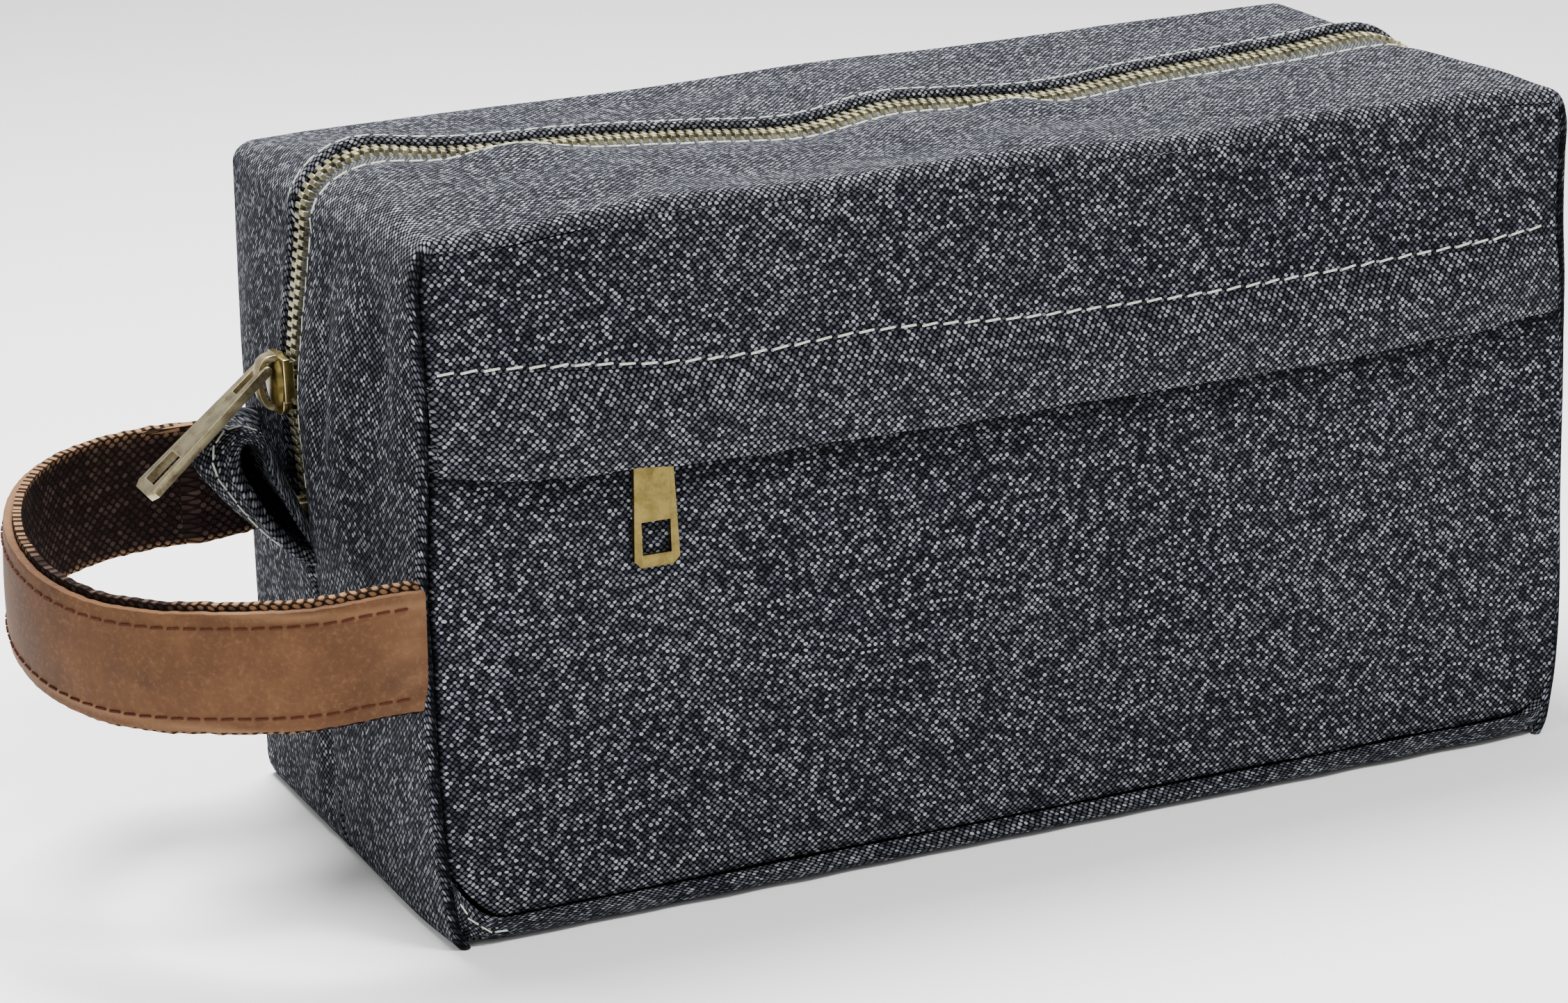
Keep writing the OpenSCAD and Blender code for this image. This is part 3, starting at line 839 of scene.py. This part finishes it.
def tooth_model():
    """One metal tooth: root at +Y, nose at -Y, X along the zip, Z outwards."""
    deselect()
    bpy.ops.mesh.primitive_cube_add(size=1)
    tooth = bpy.context.active_object
    tooth.scale = (1.2 * MM, 3.0 * MM, 2.0 * MM)
    bpy.ops.object.transform_apply(location=False, rotation=False, scale=True)
    bpy.ops.object.mode_set(mode="EDIT")
    mesh = bmesh.from_edit_mesh(tooth.data)
    for vertex in mesh.verts:
        if vertex.co.y < 0:
            vertex.co.x *= 0.86
    bmesh.update_edit_mesh(tooth.data)
    bpy.ops.object.mode_set(mode="OBJECT")
    apply_modifier(tooth, "BEVEL", width=0.13 * MM, segments=1, limit_method="ANGLE", angle_limit=math.radians(50))
    return tooth


TOOTH_PITCH = 2.1
ZIP_FOOT = 0.27


def teeth_row(side, half):
    dense = place_of(1 - np.linspace(0, 1 - ZIP_FOOT, 1500))
    parted = opened(side, strip_profile(side, 5.0, dense)[1])
    points, outs, _ = zip_surface(side, half, dense, 1.3 + parted * 1.0, -0.75 + 0.55 * ease((dense - 0.95) / 0.6) - parted * 0.7)
    first = TOOTH_PITCH * (0.25 if (half < 0) == (side > 0) else 0.75)
    points, ways, outs, _ = evened(points, outs, TOOTH_PITCH, first)
    places = []
    for point, way, out in zip(points, ways, outs):
        x_axis, z_axis = Vector(way).normalized(), Vector(out)
        y_axis = Vector((0, half, 0))
        y_axis = (y_axis - x_axis * y_axis.dot(x_axis)).normalized()
        if x_axis.cross(y_axis).dot(z_axis) < 0:
            x_axis = -x_axis
        z_axis = x_axis.cross(y_axis)
        turn = Matrix((x_axis, y_axis, z_axis)).transposed().to_4x4()
        places.append(Matrix.Translation(Vector(point) * MM) @ turn)
    return copies(tooth_model(), places)


def tape_shape(side, half):
    sunk = -2.4 if half < 0 else -1.2

    def shape(u, v):
        place = place_of(ZIP_FOOT + (1 - ZIP_FOOT) * v)
        parted = opened(side, strip_profile(side, 5.0, place)[1])
        off = 0.9 + 9.0 * u + parted * (1 - u)
        level = -0.75 + 0.55 * ease((place - 0.95) / 0.6)
        points, _, _ = zip_surface(side, half, place, off, level + sunk * ease((u - 0.12) / 0.35) - parted * 0.5)
        return tuple(np.moveaxis(points, -1, 0))
    return shape


# Stitches

def stitch_model(long, wide):
    """One stitch of thread, a rounded dash along X."""
    deselect()
    bpy.ops.mesh.primitive_cylinder_add(vertices=8, radius=wide / 2 * MM, depth=long * MM,
                                        rotation=(0, math.pi / 2, 0))
    stitch = bpy.context.active_object
    bpy.ops.object.transform_apply(location=False, rotation=True, scale=False)
    apply_modifier(stitch, "BEVEL", width=wide * 0.2 * MM, segments=1, limit_method="ANGLE",
                   angle_limit=math.radians(50))
    return stitch


def stitch_row(line, pitch, long, wide, slant=0.10):
    """Stitches along a line: line(t) gives points and ways outwards, for t from 0 to 1."""
    points, outs = line(np.linspace(0, 1, 900))
    points, ways, outs, at = evened(points, np.broadcast_to(outs, points.shape), pitch, pitch / 2)
    rng = np.random.default_rng(len(at))
    places = []
    for point, way, out in zip(points, ways, outs):
        way = way / np.linalg.norm(way)
        way = way + np.cross(out, way) * (slant + rng.normal(0, 0.03))
        point = point + out * (wide * 0.20 + rng.uniform(-0.06, 0.06))
        places.append(place_on(point, way, out))
    return copies(stitch_model(long, wide), places)


def hem_stitch_line(side, half):
    inset = 1.8 if half < 0 else 2.7

    def line(t):
        place = place_of(0.30 + 0.70 * t)
        x0, z0, _, _ = strip_profile(side, 5.0, place)
        run = run_of(x0, z0, place)
        hem = zip_line_y(x0, place) + half * hem_gap(half, run)
        y = hem + half * inset
        x, z, nx, nz = strip_profile(side, y, place)
        lift = hem_lift(half, x, y, place, hem) + end_detail(side, half, y, z, place)
        lift = lift - (0.42 if half > 0 else 0.22) * ease((1.4 - place) * 2.5)
        return np.stack([x + nx * lift, y, z + nz * lift], 1), np.stack([nx, 0 * nx, nz], 1)
    return line


for half, half_name in ((-1, "front"), (1, "rear")):
    for side, side_name in ((-1, "left"), (1, "right")):
        tape = cloth_grid(14, 150, tape_shape(side, half), (side * 0.7, 0, 0.7), side)
        thicken(tape, 0.5, 0)
        nodes = [f"zip_tape_top_{half_name}"] if side < 0 else []
        finish_piece(tape, f"zip_tape_{half_name}_{side_name}", crossing(half, side), TAPE,
                     [f"zip_tape_{side_name}_{half_name}"] + nodes)
        nodes = [f"zip_teeth_top_{half_name}"] if side < 0 else []
        finish_piece(teeth_row(side, half), f"zip_teeth_{half_name}_half_{side_name}", crossing(half, side),
                     TEETH, [f"zip_teeth_{side_name}_{half_name}"] + nodes)
        row = stitch_row(hem_stitch_line(side, half), 4.2, 3.3, 0.52 if half < 0 else 0.42)
        finish_piece(row, f"hem_stitches_{half_name}_{side_name}", crossing(half, side), CREAM)


def flap_stitch_line(t):
    x = -130.5 + 261 * t
    z = stitch_height(x)
    y = wall_face(x, z, -1) - fold_stand(x, z)
    return np.stack([x, y, z], 1), np.array([0, -1.0, 0])


finish_piece(stitch_row(flap_stitch_line, 4.8, 3.5, 0.52), "flap_stitches", "bag", CREAM,
             ["flap_stitching"])
row = stitch_row(welt_stitch_line(-1, 0.60, 0.012, 0.075), 3.6, 2.8, 0.34)
finish_piece(row, "corner_stitches", "bag", CREAM)


# Pocket flap

FLAP_TURN = 0.84


def flap_shape(side):
    radius, long = 0.85, 131.8 if side < 0 else 132.6

    def shape(u, v):
        x = side * long * (1 - v)
        fold = stitch_height(x) - 1.2
        edge = flap_low(x) + 0.4 * ripple(x, 0 * x, 61, 30)
        past, drop = hem_roll(np.clip((u - FLAP_TURN) / (1 - FLAP_TURN), 0, 1) * (np.pi * radius + 6), radius)
        z = np.where(u < FLAP_TURN, fold + (edge + radius - fold) * u / FLAP_TURN, edge + radius - past)
        depth = (fold - z) / (fold - edge)
        held = 0.45 + 0.55 * ease((131 - np.abs(x)) / 24)
        stand = np.sin(np.clip(depth * 1.7, 0, 1) * np.pi / 2) - 0.12 * ease((depth - 0.6) / 0.4)
        waves = 0.35 * ripple(x, z, 60, 50) * np.clip(depth * 2, 0, 1) * held
        face = wall_face(x, fold, -1) - fold_stand(x, fold) - 4.9 * stand * held - waves
        return x, face + drop + tuck(long - np.abs(x), 3.0, 1.6) * depth, z
    return shape


for side, side_name in ((-1, "left"), (1, "right")):
    piece = cloth_grid(34, 110, flap_shape(side), (0, -1, 0), side, upright=True)
    mark_wear_and_light(thicken(piece, 1.0, 0), lambda p: 0.26 + 0.5 * hill(p[:, 2], flap_low(p[:, 0]) + 0.3, 1.2))
    finish_piece(piece, f"flap_canvas_{side_name}",
                 ("bag", "pocket_flap", (side * 131 * MM, 0, 0), (side * 98 * MM, 0, 0)), CANVAS,
                 ["pocket_flap"] if side < 0 else [])


# Ear of canvas that the zip's loose end throws out of the left end

ear_x = smooth_curve((0, -134), (0.10, -137), (0.20, -139.8), (0.30, -142.4), (0.40, -144.8), (0.47, -146),
                     (0.52, -148), (0.57, -151), (0.62, -153.4), (0.67, -153.8), (0.75, -151.2), (0.83, -147.4),
                     (0.90, -143), (0.96, -138.6), (1, -133.6))
ear_z = smooth_curve((0, 66.6), (0.10, 71), (0.20, 76), (0.30, 81.4), (0.40, 87.6), (0.47, 92.4), (0.52, 95.2),
                     (0.57, 96), (0.62, 93.8), (0.67, 90), (0.75, 83.6), (0.83, 77), (0.90, 71.6), (0.96, 68.2),
                     (1, 66.2))
ear_fan = smooth_curve((0, 1), (0.08, 1.22), (0.2, 1.46), (0.35, 1.36), (0.6, 1.0), (0.85, 0.5), (1, 0.3))
ear_tall = smooth_curve((0, 1), (0.3, 0.97), (0.6, 0.82), (1, 0.5))
ear_lean = smooth_curve((0, -144), (0.3, -144.4), (0.6, -142), (1, -133))
EAR_LIP = 1.45


def ear_skin(d, v, away):
    """A point on the ear, at depth d from its rim, v round it and away from its middle layer."""
    around = 0.004
    tx, tz = ear_x(v + around) - ear_x(v - around), ear_z(v + around) - ear_z(v - around)
    long = np.hypot(tx, tz) + 1e-6
    x = ear_lean(d) + (ear_x(v) + 144) * ear_fan(d) + tz / long * away
    z = 80 + 3 * d + (ear_z(v) - 80) * ear_tall(d) - tx / long * away
    y = 1.6 + 40 * d + 2.0 * hill(v, 0.56, 0.15) * (1 - d) + 0.35 * ripple(x, z, 81, 18)
    return x, y, z


def ear_shape(u, v):
    turn = np.radians(-90 + 180 * np.clip((u - 0.42) / 0.16, 0, 1))
    depth = np.where(u < 0.42, (0.42 - u) / 0.42, np.where(u > 0.58, (u - 0.58) / 0.42, 0))
    x, y, z = ear_skin(depth, v, EAR_LIP * np.sin(turn))
    return x, y - EAR_LIP * np.cos(turn), z


def ear_stitch_line(u, first, last):
    def line(t):
        v = first + (last - first) * t
        point = np.stack(ear_shape(u + 0 * v, v), 1)
        across = np.stack(ear_shape(u + 0.02 + 0 * v, v), 1) - point
        along = np.stack(ear_shape(u + 0 * v, v + 0.005), 1) - point
        out = np.cross(along, across)
        out /= np.linalg.norm(out, axis=1)[:, None]
        away = point - np.array([-144, 22, 80])
        out *= np.sign((out * away).sum(1))[:, None]
        return point, out
    return line


ear = cloth_grid(76, 120, ear_shape, (0, -1, 0))
mark_wear_and_light(thicken(ear, 0.8, 0), lambda p: 0.10 + 0.35 * hill(p[:, 1], 0.6, 2.0))
finish_piece(ear, "ear_canvas", "bag", CANVAS, ["left_zip_fold"])
for name, u, first, last in (("rim", 0.61, 0.08, 0.97), ("outer", 0.72, 0.56, 0.86)):
    finish_piece(stitch_row(ear_stitch_line(u, first, last), 3.6, 3.1, 0.42), f"ear_stitches_{name}", "bag",
                 CREAM)


# Linings

def tub_shape(u, v):
    """The body's lining: v runs round it, u from the middle of its floor up to its rim."""
    turn = 2 * np.pi * v
    c, s = np.cos(turn), np.sin(turn)
    grow = np.clip(u / 0.32, 0, 1)
    size = (np.abs(c) ** 12 + np.abs(s) ** 12) ** (-1 / 12)
    rise = np.clip((u - 0.32) / 0.68, 0, 1)
    x = 127.0 * c * size * grow
    y = 55.3 * s * size * grow + 0.2
    z = 2.6 + 141.0 * rise
    slack = ripple(x + y, z, 90, 60) * 0.8 * np.clip(rise * 5, 0, 1)
    return x - np.sign(c) * np.abs(c) * slack, y - s * np.abs(slack) * 0.5, z


lining = cloth_grid(70, 200, tub_shape, (0, 0, 0))
only(lining)
bpy.ops.object.mode_set(mode="EDIT")
bpy.ops.mesh.select_all(action="SELECT")
bpy.ops.mesh.remove_doubles(threshold=0.00002)
bpy.ops.mesh.normals_make_consistent(inside=False)
bpy.ops.object.mode_set(mode="OBJECT")
thicken(lining, 0.5, 0)
finish_piece(lining, "body_lining_cloth", "bag", LINING, ["body_lining"])


def top_lining_shape(side, half):
    edge_y = FRONT_Y if half < 0 else BACK_Y

    def shape(u, v):
        x = side * 127 * (1 - v)
        y = edge_y - half * 4.4 + (ZIP_Y + half * 7.5 - edge_y + half * 4.4) * u
        top = top_height(x, y) - 4.4 - 1.6 * ease((np.abs(x) - 105) / 22)
        low = 143.0
        return x, y, low + (top - low) * ease(u / 0.15)
    return shape


for half, half_name in ((-1, "front"), (1, "rear")):
    for side, side_name in ((-1, "left"), (1, "right")):
        piece = cloth_grid(20, 50, top_lining_shape(side, half), (0, 0, 1), side)
        finish_piece(thicken(piece, 0.5, 0), f"top_{half_name}_lining_{side_name}", crossing(half, side),
                     LINING, [f"top_{half_name}_lining"] if side < 0 else [])

pouch = cloth_grid(30, 60, lambda u, v: (-125 + 250 * v, -55.9 + 0.35 * ripple(250 * v, 90 * u, 91, 40),
                                         12 + 96 * u), (0, -1, 0))
finish_piece(thicken(pouch, 0.5, 0), "pocket_lining_cloth", "bag", LINING, ["pocket_lining"])
for name, low, high in (("upper", 109.3, 116), ("lower", 98, 104.7)):
    tape = cloth_grid(6, 80, lambda u, v: (-97 + 194 * v, -57.6 + 0 * u, low + (high - low) * u), (0, -1, 0))
    finish_piece(thicken(tape, 0.5, 0), f"pocket_zip_tape_{name}", "bag", TAPE, [f"pocket_tape_{name}"])


# Strap loop

def loop_line(angle_share):
    """Outer face of the strap loop in its own plane; 0 is its front root, 1 its rear root."""
    t = np.asarray(angle_share, float)
    root = 0.085
    angle = (t - root) / (1 - 2 * root) * np.pi
    inside = (t >= root) & (t <= 1 - root)
    turn = np.clip(angle, 0, np.pi)
    radius = 53.0 + 4.0 * hill(turn, math.radians(148), 0.5)
    x = LOOP_CENTRE[0] - radius * np.sin(turn)
    y = LOOP_CENTRE[1] - (radius + 7.6 * hill(turn, 0, 0.45)) * np.cos(turn)
    front = (root - t) / root
    rear = (t - 1 + root) / root
    x = np.where(inside, x, LOOP_CENTRE[0] + 14.8 * np.clip(np.maximum(front, rear), 0, 1))
    y = np.where(inside, y, np.where(t < 0.5, LOOP_CENTRE[1] - 60.6 - 1.2 * ease(front),
                                     LOOP_CENTRE[1] + 53.5 + 3.0 * ease(rear) * np.clip(rear, 0, 1)))
    return x, y


def strap_shape(inset, width, ragged):
    def shape(u, v):
        x, y = loop_line(v)
        step = 0.002
        x0, y0 = loop_line(np.clip(v - step, 0, 1))
        x1, y1 = loop_line(np.clip(v + step, 0, 1))
        tx, ty = x1 - x0, y1 - y0
        size = np.hypot(tx, ty)
        nx, ny = -ty / size, tx / size
        across = (u - 0.5) * width
        cup = 0.5 * (2 * u - 1) ** 2
        wave = ripple(v * 210, across, 70, 80) * 0.35
        rag = ragged * ripple(v * 210, 0 * v, 71, 4) * np.abs(2 * u - 1) ** 8
        x = x - nx * (inset + cup) + nx * wave * 0.5
        y = y - ny * (inset + cup) + ny * wave * 0.5
        z_local = across + rag + 0.8 * ripple(v * 210, 0 * v, 72, 150) - 2.6 * hill(v, 0.36, 0.17) + 2.3 * hill(v, 0, 0.18)
        dy = y - LOOP_CENTRE[1]
        z = LOOP_CENTRE[2] + dy * math.sin(LOOP_TILT) + z_local * math.cos(LOOP_TILT)
        y = LOOP_CENTRE[1] + dy * math.cos(LOOP_TILT) - z_local * math.sin(LOOP_TILT)
        return x, y, z
    return shape


LOOP_BLEND = ("bag", "handle", (-0.134, 0, 0), (-0.166, 0, 0))

leather = cloth_grid(20, 240, strap_shape(0, STRAP_W, 0.15), (-1, 0, 0))
thicken(leather, 2.0, 0.45)


def leather_worn(points):
    height = points[:, 2] - LOOP_CENTRE[2] - (points[:, 1] - LOOP_CENTRE[1]) * math.sin(LOOP_TILT)
    root = hill(points[:, 0], -138, 7) * (0.5 + 0.5 * ripple(points[:, 0], points[:, 2], 73, 9))
    return hill(np.abs(height), STRAP_W / 2, 0.8) + 0.6 * root


mark_wear_and_light(leather, leather_worn)
finish_piece(leather, "strap_leather", LOOP_BLEND, LEATHER, ["handle_leather"])
webbing = cloth_grid(20, 240, strap_shape(2.1, STRAP_W + 2.4, 0.25), (-1, 0, 0))


def webbing_worn(points):
    height = points[:, 2] - LOOP_CENTRE[2] - (points[:, 1] - LOOP_CENTRE[1]) * math.sin(LOOP_TILT)
    return ease((np.abs(height) - STRAP_W / 2 + 0.4) / 0.9)


mark_wear_and_light(thicken(webbing, 1.7, 0), webbing_worn)
finish_piece(webbing, "strap_webbing", LOOP_BLEND, WEBBING, ["handle_webbing"])


def strap_stitch_line(height):
    shape = strap_shape(0, STRAP_W, 0)

    def line(t):
        u, v = 0.5 + height / STRAP_W + 0 * t, 0.02 + 0.96 * t
        here = np.stack(shape(u, v), 1)
        along = np.stack(shape(u, v + 0.004), 1) - here
        up = np.stack(shape(u + 0.02, v), 1) - here
        out = np.cross(up, along)
        out /= np.linalg.norm(out, axis=1)[:, None]
        away = here - np.array([LOOP_CENTRE[0], LOOP_CENTRE[1], 0])
        away[:, 2] = 0
        return here, out * np.sign((out * away).sum(1))[:, None]
    return line


for height, name in ((STRAP_W / 2 - 3.2, "upper"), (-STRAP_W / 2 + 3.2, "lower")):
    row = stitch_row(strap_stitch_line(height), 3.6, 2.7, 0.6, slant=0.04)
    finish_piece(row, f"strap_stitches_{name}", LOOP_BLEND, RUST)


# Metal parts: the frame's own shapes with their edges eased and rubbed bright

def eased_metal(node, width, finish):
    source = frame["nodes"][node]
    piece = source.copy()
    piece.data = source.data.copy()
    for key in list(piece.keys()):
        del piece[key]
    bpy.context.scene.collection.objects.link(piece)
    piece.hide_render = False
    only(piece)
    piece.data.materials.clear()
    piece.data.materials.append(finish)
    piece.data.materials.append(BRIGHT)
    bpy.ops.object.mode_set(mode="EDIT")
    bpy.ops.mesh.select_all(action="SELECT")
    bpy.ops.mesh.remove_doubles(threshold=0.000005)
    bpy.ops.mesh.dissolve_limited(angle_limit=math.radians(1))
    bpy.ops.object.mode_set(mode="OBJECT")
    apply_modifier(piece, "BEVEL", width=width * MM, segments=2, limit_method="ANGLE",
                   angle_limit=math.radians(35), material=1)
    return piece


METAL = {"main_slider_body": ("main_slider", 0.45, AGED), "main_pull": ("main_pull", 0.42, BRASS),
         "pocket_slider_body": ("pocket_slider", 0.4, AGED), "pocket_slider_bail": ("pocket_slider", 0.3, AGED),
         "pocket_pull": ("pocket_pull", 0.45, AGED), "zip_closed_stops": ("bag", 0.3, BRASS),
         "pocket_zip_stops": ("bag", 0.25, BRASS), "zip_open_stop": ("bag", 0.3, BRASS)}


def make_metal():
    for node, (body, width, finish) in METAL.items():
        piece = eased_metal(node, width, finish)
        if node == "zip_open_stop":
            piece.data.transform(Matrix.Translation((-0.2 * MM, 0, -6 * MM)))
        piece.name = f"{node}_metal"
        piece.data.name = piece.name
        only(piece)
        bpy.ops.object.shade_smooth_by_angle(angle=math.radians(35))
        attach(piece, body)
        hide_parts(node)


make_metal()


def slider_cover(u, v):
    """The slider's domed cover: u runs from its middle to its rim, v round it."""
    turn = 2 * np.pi * v
    s, c = np.sin(turn), np.cos(turn)
    wide = 5.0 + 0.9 * c - 0.5 * np.abs(c) ** 3
    y = SLIDER[1] + wide * s * u
    z = SLIDER[2] + 0.6 + 6.6 * c * u
    edge = ease((u - 0.80) / 0.20)
    return -142.7 - 1.9 * (1 - u ** 2.6) + 1.3 * edge, y, z


def slider_bridge(u, v):
    """The arch over the cover that the pull hooks on."""
    turn = np.pi * v
    wide = (3.9 - 0.7 * v) * (u - 0.5)
    reach = 5.1 * np.sin(turn) ** 0.62 * (1 - 0.18 * v)
    return -143.0 - reach + 0.35 * (2 * u - 1) ** 2, SLIDER[1] + wide, SLIDER[2] + 0.9 + 6.0 * np.cos(turn)


def make_slider_top():
    cover = cloth_grid(14, 48, slider_cover, (-1, 0, 0))
    only(cover)
    bpy.ops.object.mode_set(mode="EDIT")
    bpy.ops.mesh.select_all(action="SELECT")
    bpy.ops.mesh.remove_doubles(threshold=0.00001)
    bpy.ops.object.mode_set(mode="OBJECT")
    finish_piece(thicken(cover, 0.7, 0), "main_slider_cover", "main_slider", AGED)
    bridge = cloth_grid(8, 44, slider_bridge, (-1, 0, 0))
    bridge.data.materials.append(BRASS)
    bridge.data.materials.append(BRIGHT)
    apply_modifier(bridge, "SOLIDIFY", thickness=1.3 * MM, offset=-1)
    apply_modifier(bridge, "BEVEL", width=0.32 * MM, segments=2, limit_method="ANGLE",
                   angle_limit=math.radians(50), material=1)
    bridge.name = bridge.data.name = "main_slider_bridge"
    only(bridge)
    bpy.ops.object.shade_smooth_by_angle(angle=math.radians(35))
    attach(bridge, "main_slider")
    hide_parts("main_slider_bail")


make_slider_top()


# Finishes of the frame's own parts that show

FINISHES = {"brass": BRASS, "lining": LINING, "zip_tape": TAPE, "canvas": CANVAS, "thread": CREAM,
            "leather": LEATHER, "webbing": WEBBING}
for part in frame["record"]["subparts"]:
    obj = frame["nodes"][part["node"]]
    obj.data.materials.clear()
    obj.data.materials.append(FINISHES[part["material_slot"]])


# Floor, light and camera

deselect()
bpy.ops.mesh.primitive_plane_add(size=6, location=(0, 0, -0.0002))
floor = bpy.context.active_object
floor.name = "floor"
paper = Finish("pale_floor", Base_Color=(0.93, 0.93, 0.93, 1), Roughness=0.6)
floor.data.materials.append(paper.material)
floor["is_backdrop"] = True

world = bpy.data.worlds.new("soft_room")
bpy.context.scene.world = world
world.use_nodes = True
world.node_tree.nodes["Background"].inputs[0].default_value = (1, 1, 1, 1)
world.node_tree.nodes["Background"].inputs[1].default_value = 0.66


def add_light(name, place, target, size, power):
    light = bpy.data.lights.new(name, "AREA")
    light.shape = "DISK"
    light.size = size
    light.energy = power
    lamp = bpy.data.objects.new(name, light)
    lamp.location = place
    lamp.rotation_euler = (Vector(target) - Vector(place)).to_track_quat("-Z", "Y").to_euler()
    bpy.context.scene.collection.objects.link(lamp)


add_light("top_light", (-0.1, 0.30, 1.1), (0, 0, 0.1), 0.5, 40)
add_light("front_light", (0.35, -0.75, 1.45), (0, 0, 0.08), 0.35, 26)
add_light("left_light", (-1.1, -0.5, 0.9), (-0.1, 0, 0.08), 0.4, 3)


def add_camera(place, azimuth, elevation, roll, lens):
    """Azimuth 0 looks along +Y; all angles are in degrees."""
    az, el = math.radians(azimuth), math.radians(elevation)
    back = Vector((math.sin(az) * math.cos(el), -math.cos(az) * math.cos(el), math.sin(el)))
    turn = (-back).to_track_quat("-Z", "Y").to_matrix().to_4x4() @ Matrix.Rotation(math.radians(roll), 4, "Z")
    camera = bpy.data.cameras.new("camera")
    camera.lens = lens
    camera.sensor_width = 36
    camera.clip_end = 50
    obj = bpy.data.objects.new("camera", camera)
    obj.matrix_world = Matrix.Translation(Vector(place)) @ turn
    bpy.context.scene.collection.objects.link(obj)
    bpy.context.scene.camera = obj


add_camera((-0.3896, -0.8121, 0.3347), -23.9, 16.93, -1.88, 96.17)

low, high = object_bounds()
